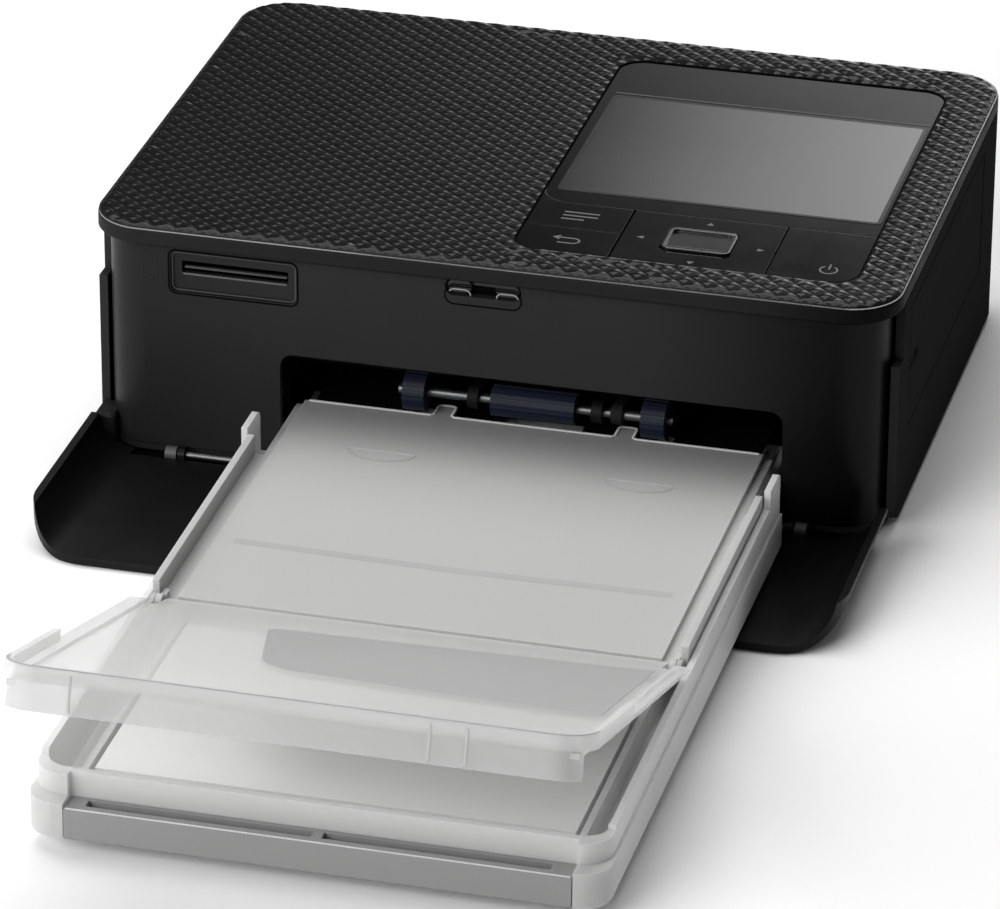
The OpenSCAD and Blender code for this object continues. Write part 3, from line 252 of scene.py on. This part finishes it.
def frosted(name, color, rough, alpha, stops=()):
    """Translucent moulded plastic with a soft, milky body, and painted shade where stops are given.
    """
    n = Nodes(name)
    col = n.mix(n.noise(22, 3), "Fac", tuple(c * 0.97 for c in color), color)
    n.base_color(shade(n, col, "Y", stops) if stops else col)
    fine = n.noise(1400, 2)
    n.roughness(fine, rough - 0.05, rough + 0.05)
    n.bump(fine, 0.2, 0.00001)
    n.bsdf.inputs["Alpha"].default_value = alpha
    n.bsdf.inputs["Subsurface Weight"].default_value = 0.5
    n.bsdf.inputs["Subsurface Radius"].default_value = (1, 1, 1)
    n.bsdf.inputs["Subsurface Scale"].default_value = 0.002
    n.bsdf.inputs["IOR"].default_value = 1.4
    return n.mat


def screen(name):
    """Switched-off display: a grey that grows from left to right, which is a painted reflection,
    with a faint haze.
    """
    n = Nodes(name)
    sep = n.add("ShaderNodeSeparateXYZ")
    n.link(n.coord, "Object", sep, "Vector")
    # A grey rising from left to right: a painted reflection.
    painted_reflection = n.span(sep, "X", 0.0, 1.0, 0.0065, 0.078)
    haze = n.noise(9, 2)
    soft = n.span(haze, "Fac", -0.06, 0.06, 0.3, 0.7)
    add = n.add("ShaderNodeMath", operation="ADD")
    n.link(painted_reflection, "Result", add, 0)
    n.link(soft, "Result", add, 1)
    n.base_color(n.mix(add, "Value", (0.008, 0.0085, 0.0085), (0.198, 0.2, 0.198)))
    n.roughness(haze, 0.16, 0.24)
    n.bsdf.inputs["Specular IOR Level"].default_value = 0.35
    return n.mat


# ---------------------------------------------------------------- materials
# name: colour, roughness, other settings of plastic(); stops paint shade along an axis
PLASTIC = {
    "black_satin": ((0.020, 0.020, 0.0202), 0.36, {"spec": 0.13}),
    "black_side": ((0.021, 0.021, 0.0212), 0.6, {"spec": 0.0, "edge": 0}),
    # The rim's stops paint shade: darker towards the right side of the top cover.
    "black_rim": ((0.019, 0.019, 0.0192), 0.5,
                  {"spec": 0.03, "axis": "X", "stops": ((0.05, 0.088, 1.0, 0.2),)}),
    # The fascia's stops paint shade: darker at its left end and much darker round its right corner.
    "black_fascia": ((0.024, 0.024, 0.0242), 0.36,
                     {"spec": 0.1, "axis": "X",
                      "stops": ((-0.09, -0.02, 0.6, 1.0), (0.03, 0.083, 1.0, 0.1))}),
    "black_door": ((0.0045, 0.0045, 0.0046), 0.36, {"spec": 0.14}),
    "black_top": ((0.0065, 0.0065, 0.0066), 0.19,
                  {"grain": 1500, "grain_depth": 0.000006, "spec": 0.14, "edge": 0,
                   "rough_vary": 0.03}),
    "black_gloss": ((0.002, 0.002, 0.0021), 0.08,
                    {"grain_depth": 0.000002, "spec": 0.2, "rough_vary": 0.03, "edge": 0.0002}),
    "black_shine": ((0.008, 0.008, 0.0083), 0.16,
                    {"grain_depth": 0.000002, "spec": 0.6, "rough_vary": 0.03, "edge": 0.0003}),
    "black_inner": ((0.004, 0.004, 0.004), 0.6, {"spec": 0.15, "edge": 0}),
    "black_flat": ((0.002, 0.002, 0.002), 0.8, {"spec": 0.02, "edge": 0}),
    "rubber_black": ((0.008, 0.008, 0.008), 0.75, {"grain": 1800, "spec": 0.2, "edge": 0}),
    "rubber_blue": ((0.005, 0.008, 0.022), 0.55, {"grain": 1800, "spec": 0.3, "edge": 0}),
    "board": ((0.012, 0.07, 0.03), 0.35, {"grain": 400, "edge": 0}),
    "white_inner": ((0.72, 0.71, 0.67), 0.45, {"edge": 0}),
    "yellow_inner": ((0.65, 0.45, 0.08), 0.45, {"edge": 0}),
    "ink_shell": ((0.045, 0.05, 0.055), 0.4, {"edge": 0}),
    "ink_film": ((0.2, 0.04, 0.12), 0.15, {"coat": 0.5, "edge": 0}),
    "ceramic": ((0.66, 0.62, 0.54), 0.3, {"edge": 0}),
    "grey_opaque": ((0.26, 0.26, 0.257), 0.42, {"vary": 0.03, "edge": 0.0004}),
    "paper": ((0.95, 0.95, 0.94), 0.4, {"vary": 0.02, "edge": 0}),
    "bush": ((0.075, 0.075, 0.075), 0.5, {"edge": 0}),
    "frost_patch": ((0.44, 0.44, 0.436), 0.5, {"vary": 0.03, "spec": 0.3, "edge": 0}),
    "frost_shade": ((0.43, 0.43, 0.426), 0.5, {"vary": 0.08, "spec": 0.3, "edge": 0}),
    # These two greys serve both printed symbols and painted highlights.
    "mark_and_highlight": ((0.10, 0.10, 0.10), 0.5, {"edge": 0}),
    "mark_and_highlight_dim": ((0.05, 0.05, 0.05), 0.5, {"edge": 0}),
    "lcd_back": ((0.05, 0.052, 0.055), 0.3, {"edge": 0}),
    "screen_edge": ((0.022, 0.022, 0.0222), 0.18, {"spec": 0.3, "edge": 0}),
}
# name: colour, roughness
METAL = {
    "rim_highlight": ((0.3, 0.3, 0.3), 0.22),
    "steel": ((0.42, 0.43, 0.45), 0.34),
    "aluminium": ((0.62, 0.63, 0.65), 0.38),
    "steel_dark": ((0.16, 0.165, 0.17), 0.4),
    "chrome": ((0.42, 0.42, 0.43), 0.16),
    "brass": ((0.72, 0.55, 0.27), 0.3),
}
# name: colour, roughness, alpha, stops along y that paint shade
FROSTED = {
    # Painted shade: the flap darker at its front end.
    "frosted": ((0.82, 0.82, 0.813), 0.42, 0.5, ((-0.1578, -0.1565, 0.76, 1.0),)),
    # Painted shade: the lid darker towards its rear, next to the fascia.
    "frosted_lid": ((0.50, 0.50, 0.494), 0.5, 1.0, ((0.004, 0.034, 1.0, 0.58),)),
    # Painted shade: the base darker at its front corners.
    "frosted_base": ((0.88, 0.88, 0.873), 0.42, 0.75, ((-0.156, -0.128, 0.5, 1.0),)),
    "frost_highlight": ((0.9, 0.9, 0.9), 0.3, 1.0, ()),
    "frost_dark": ((0.30, 0.30, 0.297), 0.45, 1.0, ()),
    "frost_mark": ((0.45, 0.45, 0.445), 0.45, 1.0, ()),
}
M = {name: plastic(name, color, rough, **more) for name, (color, rough, more) in PLASTIC.items()}
M.update({name: metal(name, *values) for name, values in METAL.items()})
M.update({name: frosted(name, *values) for name, values in FROSTED.items()})
M["screen"] = screen("screen")

BY_SLOT = {
    "black_textured": "black_top", "black_satin": "black_satin", "black_gloss": "black_gloss",
    "display": "lcd_back", "circuit_board": "board", "rubber_black": "rubber_black",
    "rubber_blue": "rubber_blue", "steel": "steel", "aluminium_plain": "aluminium",
    "brass_plain": "brass", "plastic_black_inner": "black_inner", "plastic_white": "white_inner",
    "plastic_yellow": "yellow_inner", "ink_shell_grey": "ink_shell", "ink_film": "ink_film",
    "ceramic": "ceramic", "frosted_clear": "frosted", "grey_opaque": "grey_opaque",
    "paper_white": "paper",
}
# Nodes that need another look than their slot's
BY_NODE = {
    "front_fascia": "black_fascia", "side_panel_right": "black_side", "rear_panel": "black_side",
    "bottom_cover": "black_side", "ink_door": "black_side", "eject_lever": "black_side",
    "front_cover": "black_door", "top_cover": "black_rim", "card_reader": "black_flat",
    "ok_key": "black_shine", "latch_tabs": "black_shine", "cover_hinge_bushes": "bush",
    "pickup_shaft": "steel_dark", "pickup_drive_shaft": "steel_dark",
    "cover_hinge_pins": "steel_dark",
    "cassette_lid": "frosted_lid", "cassette_base": "frosted_base",
}
for sp in frame["record"]["subparts"]:
    obj = frame["nodes"][sp["node"]]
    mat = M[BY_NODE.get(sp["node"], BY_SLOT[sp["material_slot"]])]
    if not obj.material_slots:
        obj.data.materials.append(mat)
    for s in obj.material_slots:
        s.material = mat
BODY_OF = {o.name: body_of(o)[0] for o in frame["nodes"].values()}


# ---------------------------------------------------------------- outlines, seen from above
def rounded(x0, x1, y0, y1, r, n):
    """Outline of a rounded rectangle, counter-clockwise, with n steps round each corner."""
    pts = []
    for cx, cy, a0 in ((x1 - r, y1 - r, 0), (x0 + r, y1 - r, 90), (x0 + r, y0 + r, 180),
                       (x1 - r, y0 + r, 270)):
        for i in range(n + 1):
            a = math.radians(a0 + 90 * i / n)
            pts.append((cx + r * math.cos(a), cy + r * math.sin(a)))
    return pts


def arc(cx, cy, rx, ry, a0, a1, n):
    """Points on an ellipse, from angle a0 to angle a1 in n steps."""
    return [(cx + rx * math.cos(math.radians(a0 + (a1 - a0) * i / n)),
             cy + ry * math.sin(math.radians(a0 + (a1 - a0) * i / n))) for i in range(n + 1)]


def top_ring(inset, n):
    """Outline of the top cover, drawn in by an inset."""
    x = BODY_HALF_W - inset
    return rounded(-x, x, inset, BODY_D - inset, TOP_R - inset, n)


def window_ring(inset, n):
    """Outline of the control panel, drawn in by an inset."""
    x0, x1, y0, y1 = WINDOW
    return rounded(x0 + inset, x1 - inset, y0 + inset, y1 - inset, WINDOW_R - inset, n)


def inside(pt, ring):
    """Whether a point lies in a convex, counter-clockwise outline."""
    n = len(ring)
    return all((ring[(i + 1) % n][0] - ring[i][0]) * (pt[1] - ring[i][1])
               - (ring[(i + 1) % n][1] - ring[i][1]) * (pt[0] - ring[i][0]) >= 0 for i in range(n))


def clip_half(poly, a, b, keep_left):
    """Part of poly (points with x, y, z) on one side of the line a-b, seen from above."""
    res = []
    sign = 1 if keep_left else -1

    def side(p):
        return sign * ((b[0] - a[0]) * (p[1] - a[1]) - (b[1] - a[1]) * (p[0] - a[0]))

    for i, p in enumerate(poly):
        q = poly[(i + 1) % len(poly)]
        sp, sq = side(p), side(q)
        if sp >= 0:
            res.append(p)
        if (sp > 0 and sq < 0) or (sp < 0 and sq > 0):
            t = sp / (sp - sq)
            res.append(tuple(p[j] + t * (q[j] - p[j]) for j in range(3)))
    return res if len(res) >= 3 else []


def split(poly, ring):
    """What a convex outline keeps of poly, and the pieces outside it."""
    pieces = []
    for a, b in zip(ring, ring[1:] + ring[:1]):
        piece = clip_half(poly, a, b, False)
        if piece:
            pieces.append(piece)
        poly = clip_half(poly, a, b, True)
        if not poly:
            break
    return poly, pieces


# ---------------------------------------------------------------- raised diamonds on the top
HALF_X, HALF_Y = 2.6, 2.165         # half a diamond's width and depth
DIAMOND_H = 0.5
WAIST, WAIST_H = 0.46, 0.74         # where a diamond's foot meets its crown, as shares of its size
SHEET_INSET = 0.6                   # edge of the texture, inside the top cover's outline
SHEET_UP, SHEET_DOWN = 0.01, 0.02   # the skin's grooves over the top cover, and its edge in it
WELD, SLIVER = 2e-6, 1e-6           # in metres: points that become one, and edges that go
COLUMNS = math.ceil(BODY_HALF_W / HALF_X)
ROWS = math.ceil(BODY_D / (2 * HALF_Y))


def diamond(cx, cy):
    """Corners and faces of one diamond: a steep foot and a flatter crown."""
    far = [(cx + HALF_X, cy), (cx, cy + HALF_Y), (cx - HALF_X, cy), (cx, cy - HALF_Y)]
    z = DIAMOND_H * WAIST_H
    mid = [(cx + HALF_X * WAIST, cy, z), (cx, cy + HALF_Y * WAIST, z),
           (cx - HALF_X * WAIST, cy, z), (cx, cy - HALF_Y * WAIST, z)]
    faces = []
    for k in range(4):
        a, b = far[k], far[(k + 1) % 4]
        m1, m2 = mid[k], mid[(k + 1) % 4]
        faces.append([(*a, 0.0), (*b, 0.0), m2, m1])
        faces.append([m1, m2, (cx, cy, DIAMOND_H)])
    return far, faces


def edge_gap(x, y):
    """Distance from the outline of the top cover."""
    qx = abs(x) - (BODY_HALF_W - TOP_R)
    qy = abs(y - BODY_D / 2) - (BODY_D / 2 - TOP_R)
    return max(0, TOP_R - math.hypot(max(qx, 0), max(qy, 0)) - min(max(qx, qy), 0))


def taper(x, y):
    """Share of a diamond's height that is left near the rim and near the control panel."""
    x0, x1, y0, y1 = WINDOW
    d = math.hypot(max(abs(x - (x0 + x1) / 2) - (x1 - x0) / 2, 0), max(y0 - y, 0, y - y1))
    # 15 % at the texture's edge and 25 % at the panel, full height 1.5 and 1.2 mm further in
    return min(1, 0.15 + (edge_gap(x, y) - SHEET_INSET) / 1.8, 0.25 + d / 1.6)


def edge_drop(x, y):
    """How far the rounded rim of the top cover lies below its flat part."""
    d = min(edge_gap(x, y), TOP_RIM_R)
    return TOP_RIM_R - math.sqrt(TOP_RIM_R ** 2 - (TOP_RIM_R - d) ** 2)


def diamond_faces():
    """All the diamonds, cut at the texture's edge, where the rim starts and at the panel."""
    outer, flat, hole = top_ring(SHEET_INSET, 8), top_ring(TOP_RIM_R, 8), window_ring(0, 8)
    polys = []
    for i in range(-COLUMNS, COLUMNS + 1):
        for j in range(-1, ROWS + 1):
            far, faces = diamond(i * HALF_X, (j + (0 if i % 2 else 0.5)) * 2 * HALF_Y)
            in_hole = [inside(p, hole) for p in far]
            if all(in_hole) or not any(inside(p, outer) for p in far):
                continue
            if all(inside(p, flat) for p in far) and not any(in_hole):
                polys += faces
                continue
            for f in faces:
                kept = split(f, outer)[0]
                if kept:
                    kept, on_rim = split(kept, flat)
                    polys += on_rim
                if kept:
                    polys += split(kept, hole)[1]
    return polys


def diamond_sheet():
    """The texture as one smooth skin, with an edge that reaches into the top cover."""
    bm = bmesh.new()
    for f in diamond_faces():
        vs = [bm.verts.new(V(x, y, TOP_Z + SHEET_UP + z * taper(x, y) - edge_drop(x, y)))
              for x, y, z in f]
        bm.faces.new(vs).smooth = True
    bmesh.ops.remove_doubles(bm, verts=bm.verts, dist=WELD)
    bmesh.ops.dissolve_degenerate(bm, dist=SLIVER, edges=bm.edges)
    border = [e for e in bm.edges if len(e.link_faces) == 1]
    for e in border:
        e.smooth = False
    ret = bmesh.ops.extrude_edge_only(bm, edges=border)
    for v in ret["geom"]:
        if isinstance(v, bmesh.types.BMVert):
            v.co.z = (TOP_Z - SHEET_DOWN - edge_drop(v.co.x / MM, (v.co.y - FY) / MM)) * MM
    bmesh.ops.recalc_face_normals(bm, faces=bm.faces)
    me = bpy.data.meshes.new("top_diamonds")
    bm.to_mesh(me)
    bm.free()
    o = add_object("top_diamonds", me)
    me.materials.append(M["black_top"])
    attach(o, "body")


diamond_sheet()


# ---------------------------------------------------------------- thin plates and lines
def new_mesh(name, verts, faces, mat, body):
    me = bpy.data.meshes.new(name)
    me.from_pydata([tuple(v) for v in verts], [], faces)
    me.update()
    o = add_object(name, me)
    me.materials.append(M[mat])
    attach(o, body)
    return o


def sheet_of(name, ring, z0, z1, mat, body, bevel=0.0, at=V):
    """Thin plate over an outline, with a small chamfer round its upper edge."""
    n = len(ring)
    cx = sum(p[0] for p in ring) / n
    cy = sum(p[1] for p in ring) / n
    top = []
    for x, y in ring:
        k = min(1, bevel / max(0.01, math.hypot(cx - x, cy - y)))
        top.append((x + (cx - x) * k, y + (cy - y) * k))
    zm = z1 - min(bevel, (z1 - z0) * 0.5)
    verts = [at(x, y, z0) for x, y in ring] + [at(x, y, zm) for x, y in ring]
    verts += [at(x, y, z1) for x, y in top]
    faces = [list(range(n))[::-1], list(range(2 * n, 3 * n))]
    for k in range(n):
        j = (k + 1) % n
        faces.append([k, j, n + j, n + k])
        faces.append([n + k, n + j, 2 * n + j, 2 * n + k])
    new_mesh(name, verts, faces, mat, body)


def stroke(name, pts, width, z0, z1, mat, body, closed=False, at=V):
    """A flat line of even width along points, open or closed to a ring."""
    n = len(pts)
    left, right = [], []
    for i, (x, y) in enumerate(pts):
        a = pts[(i - 1) % n] if closed or i > 0 else pts[i]
        b = pts[(i + 1) % n] if closed or i < n - 1 else pts[i]
        dx, dy = b[0] - a[0], b[1] - a[1]
        k = width / 2 / max(1e-6, math.hypot(dx, dy))
        left.append((x - dy * k, y + dx * k))
        right.append((x + dy * k, y - dx * k))
    verts, faces = [], []
    for lx, rx in zip(left, right):
        verts += [at(*lx, z0), at(*rx, z0), at(*rx, z1), at(*lx, z1)]
    for i in range(n if closed else n - 1):
        a, b = 4 * i, 4 * ((i + 1) % n)
        for k in range(4):
            m = (k + 1) % 4
            faces.append([a + k, a + m, b + m, b + k])
    if not closed:
        faces += [[3, 2, 1, 0], [4 * n - 4, 4 * n - 3, 4 * n - 2, 4 * n - 1]]
    o = new_mesh(name, verts, faces, mat, body)
    bm = bmesh.new()
    bm.from_mesh(o.data)
    bmesh.ops.recalc_face_normals(bm, faces=bm.faces)
    bm.to_mesh(o.data)
    bm.free()


# ---------------------------------------------------------------- trim and painted highlights of the top
# A bright metal line round the top cover's rim: a painted highlight of its rounded edge.
stroke("plate_rim_highlight", top_ring(0.35, 14), 0.3, 56.9, 57.19, "rim_highlight", "body", True)
stroke("panel_seam", window_ring(0.05, 12), 0.45, 57.2, 57.66, "black_flat", "body", True)
stroke("panel_glint", [(9, 11.3), (74, 11.3)], 0.25, 57.3, 57.7, "mark_and_highlight", "body")

# The display's screen, whose grey is a painted reflection, and the painted lines round it
window = BODY_OF["control_window"]
LOW, HIGH = KEY_Z - 0.05, KEY_Z + 0.04      # undersides and upper faces of the marks
sheet_of("display_screen", rounded(6.4, 78.3, 45, 98, 0.5, 4), LOW, KEY_Z + 0.05, "screen",
         window, 0.05)
# A darker grey ring that softens the edge of the painted reflection.
stroke("display_reflection_border", rounded(5.95, 78.75, 44.55, 98.45, 0.6, 4), 0.9, LOW, KEY_Z + 0.045,
       "screen_edge", window, True)
# A painted highlight along the step of the glass above the display.
stroke("display_edge_highlight", [(5.6, 100.2), (79.2, 100.2)], 0.5, LOW, HIGH, "mark_and_highlight_dim", window)

# Fillings that square the window's rounded front corners
FILL_Y, FILL_R, FILL_DEPTH = 38.0, 6, 1.4
for side, cx, s in (("left", 3.2, 1), ("right", 79.8, -1)):
    ring = [(cx, FILL_Y)]
    for deg in range(90, -1, -9):
        a = math.radians(deg)
        ring.append((cx + s * FILL_R * (1 - math.cos(a)), FILL_Y + FILL_R * (1 - math.sin(a))))
    if side == "right":
        ring = ring[::-1]
    sheet_of("window_corner_" + side, ring, KEY_Z - FILL_DEPTH, KEY_Z, "black_gloss", window)

# Marks on the keys
stroke("ok_rim", rounded(35.7, 50.3, 19.2, 29.4, 1.3, 5), 0.4, KEY_Z + 0.42, KEY_Z + 0.56,
       "chrome", BODY_OF["ok_key"], True)
for name, x, y, deg in (("up", 43, 34.4, 90), ("down", 43, 13.9, 270), ("left", 29.6, 24.1, 180),
                        ("right", 56.4, 24.1, 0)):
    tri = [(x + 1.05 * math.cos(math.radians(deg + d)), y + 0.85 * math.sin(math.radians(deg + d)))
           for d in (0, 125, 235)]
    sheet_of("arrow_" + name, tri, LOW, HIGH, "mark_and_highlight", BODY_OF["direction_pad"])
for i, x1 in enumerate((18.2, 18.2, 15.4)):
    y = 32.9 - 1.8 * i
    stroke("menu_bar_%d" % i, [(10.2, y), (x1, y)], 0.55, LOW, HIGH, "mark_and_highlight", BODY_OF["menu_key"])
back, power = BODY_OF["back_key"], BODY_OF["power_key"]
stroke("back_line", [(12.2, 19.4), (15.6, 19.4)] + arc(15.6, 18.1, 1.5, 1.3, 90, -90, 12)
       + [(12.4, 16.8)], 0.45, LOW, HIGH, "mark_and_highlight", back)
sheet_of("back_head", [(10.8, 19.4), (12.5, 18.3), (12.5, 20.5)], LOW, HIGH, "mark_and_highlight", back)
stroke("power_ring", arc(73.0, 18.0, 1.9, 1.9, 122, 418, 30), 0.42, LOW, HIGH, "mark_and_highlight", power)
stroke("power_bar", [(73.0, 18.2), (73.0, 20.9)], 0.42, LOW, HIGH, "mark_and_highlight", power)


# ---------------------------------------------------------------- card slot, card mark and latch
def on_fascia(x, z, out):
    """Place on the floor of the fascia's recesses, out towards the viewer."""
    return V(x, RECESS_Y - out, z)


stroke("card_groove", rounded(-72.5, -42.8, 41.3, 51.8, 1.7, 6), 0.4, 0.96, 1.05, "black_flat",
       "body", True, on_fascia)
stroke("card_recess_rim", rounded(-71.8, -43.5, 42.0, 51.1, 1.2, 6), 0.3, 0.05, 0.45, "mark_and_highlight_dim",
       "body", True, on_fascia)
# A painted highlight on the slot's lower lip.
stroke("card_slot_lip_highlight", [(-69.4, 45.95), (-45.5, 45.95)], 0.4, -0.05, 0.25, "mark_and_highlight", "body",
       at=on_fascia)
stroke("card_slot_rail", [(-69.2, 47.3), (-45.7, 47.3)], 0.45, -1.2, -0.5, "mark_and_highlight_dim", "body",
       at=on_fascia)
card = [(-78.5, 43.8), (-75.2, 43.8), (-75.2, 49.8), (-77.3, 49.8), (-78.5, 48.4)]
stroke("card_mark", card, 0.3, 0.97, 1.04, "black_satin", "body", True, on_fascia)

latch = BODY_OF["latch_tabs"]
sheet_of("latch_shade", rounded(-9.0, 7.8, 46.8, 50.6, 1.85, 6), -1.0, -0.9, "black_flat", latch,
         at=on_fascia)
stroke("latch_recess_rim", rounded(-9.25, 8.05, 46.55, 50.85, 2.05, 8), 0.35, 0.97, 1.05,
       "black_flat", "body", True, on_fascia)
tab_out = RECESS_Y - (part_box("latch_tabs")[0].y - FY) / MM
# Chrome rings round the tabs: painted glints on their rounded edges.
for side, cx in (("l", -6.0), ("r", 4.8)):
    stroke("latch_glint_" + side, rounded(cx - 2.45, cx + 2.45, 47.45, 49.95, 1.2, 6), 0.3,
           tab_out - 0.1, tab_out + 0.08, "chrome", latch, True, on_fascia)


# ---------------------------------------------------------------- black strip under the front hinge
for name, x0, x1, y1 in (("hinge_apron_left", -90.9, -50, 13), ("hinge_apron_right", 66, 87, 6)):
    sheet_of(name, rounded(x0, x1, -1.2, y1, 0.6, 3), 0.15, 0.7, "black_flat", "body", 0.1)
sheet_of("strip_foot", rounded(-90.9, -86.0, 2.7, 10.6, 1.2, 4), 0.7, 9.0, "black_satin", "body",
         0.6)


# ---------------------------------------------------------------- cassette details
def on_flap(x, y, z):
    """Place on the raised flap, from coordinates measured at its hinge axis."""
    return V(x, FLAP_AXIS_Y + y * math.cos(FLAP_TILT) + z * math.sin(FLAP_TILT),
             FLAP_AXIS_Z - y * math.sin(FLAP_TILT) + z * math.cos(FLAP_TILT))


# Painted highlight along the rear edge of the lid and round its two tabs
EDGE_Y = 5.7
edge = [(LID_X0, EDGE_Y)]
for x0, x1 in ((-12.9, -8.4), (28.4, 32.9)):
    edge += [(x0 - 0.5, EDGE_Y), (x0 + 0.2, 6.3)] + arc(x0 + 1.3, 9.9, 1.1, 1.1, 180, 90, 5)
    edge += arc(x1 - 1.3, 9.9, 1.1, 1.1, 90, 0, 5) + [(x1 - 0.2, 6.3), (x1 + 0.5, EDGE_Y)]
edge.append((LID_X1, EDGE_Y))
stroke("lid_rear_highlight", edge, 0.5, LID_Z - 0.3, LID_Z + 0.25, "frost_highlight", "lid")

# Grey patch on the flap, and the ribs on its front wall
flap_grey_patch = [(63.5, -10), (24, -13.2), (-14.5, -15.8), (-16.3, -16.8), (-16.6, -18.5),
               (-9.6, -47.5), (-7.5, -51.5), (-2.5, -54.8), (24, -57.6), (63.5, -59.5)]
sheet_of("flap_grey_patch", flap_grey_patch, 1.15, 1.27, "frost_patch", "flap", 0.06, on_flap)
for i, x in enumerate((-34.5, 38.2, 45.6)):
    sheet_of("flap_wall_rib_%d" % i, rounded(x - 0.3, x + 0.3, -97.62, -97.4, 0.1, 2), -3.8, 3.6,
             "frost_mark", "flap", 0.05, on_flap)

# Painted shadow of the paper's end under the lid, and a painted highlight on the front bar's upper
# edge
stroke("lid_paper_shadow", [(-38, -63.5), (10, -64.6), (58, -63.5)], 2.2, LID_Z - 0.1, LID_Z + 0.02,
       "frost_shade", "lid")
# A painted highlight on the front bar's upper edge.
stroke("bar_edge_highlight", [(-41.2, -171.75), (62.8, -171.75)], 0.45, 10.2, 10.5, "frost_highlight",
       "cassette")

# Dark line on the rounded corners of the flap's front wall
WALL_R = 7.6
wall = arc(-42, -89.5, WALL_R, WALL_R, 180, 270, 10) + arc(62, -89.5, WALL_R, WALL_R, 270, 360, 10)
stroke("flap_wall_edge", wall, 0.5, 4.5, 4.72, "frost_dark", "flap", at=on_flap)

# Black sheet behind the lid, with gaps for the rollers, that paints the shade inside the printer;
# it lies below the lid's sliding way
guide = [(-41.0, 61.0, 12.7, 31)]
for x0, x1 in ((-41.0, -20.3), (-13.7, -0.3), (20.3, 33.9), (40.9, 61.0)):
    guide.append((x0, x1, 6.5, 12.8))
for i, (x0, x1, y0, y1) in enumerate(guide):
    sheet_of("inner_shade_sheet_%d" % i, rounded(x0, x1, y0, y1, 0.3, 2), 15.12, 15.42, "black_flat",
             "body", 0.1)

# Two moulded half moons on the lid, drawn as a curve of painted shade and a straight painted
# highlight
MOON_Y, MOON_R, MOON_DEPTH = -14.5, 7.6, 4.4
for side, cx in (("l", LID_MID_X - 29), ("r", LID_MID_X + 29)):
    stroke("lid_moon_" + side, arc(cx, MOON_Y, MOON_R, MOON_DEPTH, 180, 360, 28), 0.5,
           LID_Z - 0.1, LID_Z + 0.08, "frost_shade", "lid")
    stroke("lid_moon_highlight_" + side, [(cx - MOON_R, MOON_Y), (cx + MOON_R, MOON_Y)], 0.4,
           LID_Z - 0.1, LID_Z + 0.08, "frosted_base", "lid")


# ---------------------------------------------------------------- lamps and floor, in metres
def area(name, loc, target, size, size_y, energy):
    d = bpy.data.lights.new(name, "AREA")
    d.shape = "RECTANGLE"
    d.size, d.size_y = size, size_y
    d.energy = energy
    o = add_object(name, d)
    o.location = loc
    o.visible_camera = False
    o.rotation_euler = (Vector(target) - Vector(loc)).to_track_quat("-Z", "Y").to_euler()


area("key", (-0.25, 0.40, 1.1), (0, -0.02, 0), 1.25, 1.0, 13)
area("front", (-0.88, -1.15, 0.80), (0, -0.05, 0), 1.4, 0.9, 23)

FLOOR_HALF = 3
me = bpy.data.meshes.new("floor")
me.from_pydata([(-FLOOR_HALF, -FLOOR_HALF, 0), (FLOOR_HALF, -FLOOR_HALF, 0),
                (FLOOR_HALF, FLOOR_HALF, 0), (-FLOOR_HALF, FLOOR_HALF, 0)], [], [(0, 1, 2, 3)])
floor = add_object("floor", me)
paper_floor = Nodes("floor_paper")
patches = paper_floor.noise(3, 2)
paper_floor.base_color(paper_floor.mix(patches, "Fac", (0.965, 0.965, 0.965), (0.98, 0.98, 0.98)))
paper_floor.bsdf.inputs["Roughness"].default_value = 0.9
me.materials.append(paper_floor.mat)


# ---------------------------------------------------------------- world
world = bpy.data.worlds.new("studio")
bpy.context.scene.world = world
world.use_nodes = True
wt = world.node_tree
wt.nodes.clear()
world_out = wt.nodes.new("ShaderNodeOutputWorld")
background = wt.nodes.new("ShaderNodeBackground")
coord = wt.nodes.new("ShaderNodeTexCoord")
direction = wt.nodes.new("ShaderNodeSeparateXYZ")
wt.links.new(coord.outputs["Generated"], direction.inputs["Vector"])
to_x, to_y, to_z = (direction.outputs[k] for k in "XYZ")


def wmath(op, *vals):
    m = wt.nodes.new("ShaderNodeMath")
    m.operation = op
    for i, v in enumerate(vals):
        if isinstance(v, (int, float)):
            m.inputs[i].default_value = v
        else:
            wt.links.new(v, m.inputs[i])
    return m.outputs[0]


def wspan(src, a, b, lo, hi):
    """Map a...b of a value smoothly to lo...hi."""
    m = wt.nodes.new("ShaderNodeMapRange")
    m.interpolation_type = "SMOOTHSTEP"
    wt.links.new(src, m.inputs["Value"])
    m.inputs["From Min"].default_value = a
    m.inputs["From Max"].default_value = b
    m.inputs["To Min"].default_value = lo
    m.inputs["To Max"].default_value = hi
    return m.outputs["Result"]


# A dark studio with a pale band at the horizon and a soft panel behind the object; x / y gives
# how far to the right a direction behind the object points
BASE = 0.06
glow = wspan(to_z, 0.02, 0.3, 0.17, 0.0)
sideways = wmath("DIVIDE", to_x, wmath("MAXIMUM", to_y, 0.001))
behind = wspan(to_y, 0.0, 0.3, 0.0, 1.0)
panel = wmath("MULTIPLY", wspan(sideways, -0.28, -0.12, 0.0, 2.3),
              wspan(to_z, 0.385, 0.43, 1.0, 0.0))
panel = wmath("MULTIPLY", panel, wspan(sideways, 0.3, 0.9, 1.0, 0.0))
total = wmath("ADD", wmath("ADD", glow, wmath("MULTIPLY", panel, behind)), BASE)
background.inputs["Color"].default_value = (1, 1, 1, 1)
wt.links.new(total, background.inputs["Strength"])
wt.links.new(background.outputs[0], world_out.inputs["Surface"])
bpy.context.scene.view_settings.view_transform = "Standard"
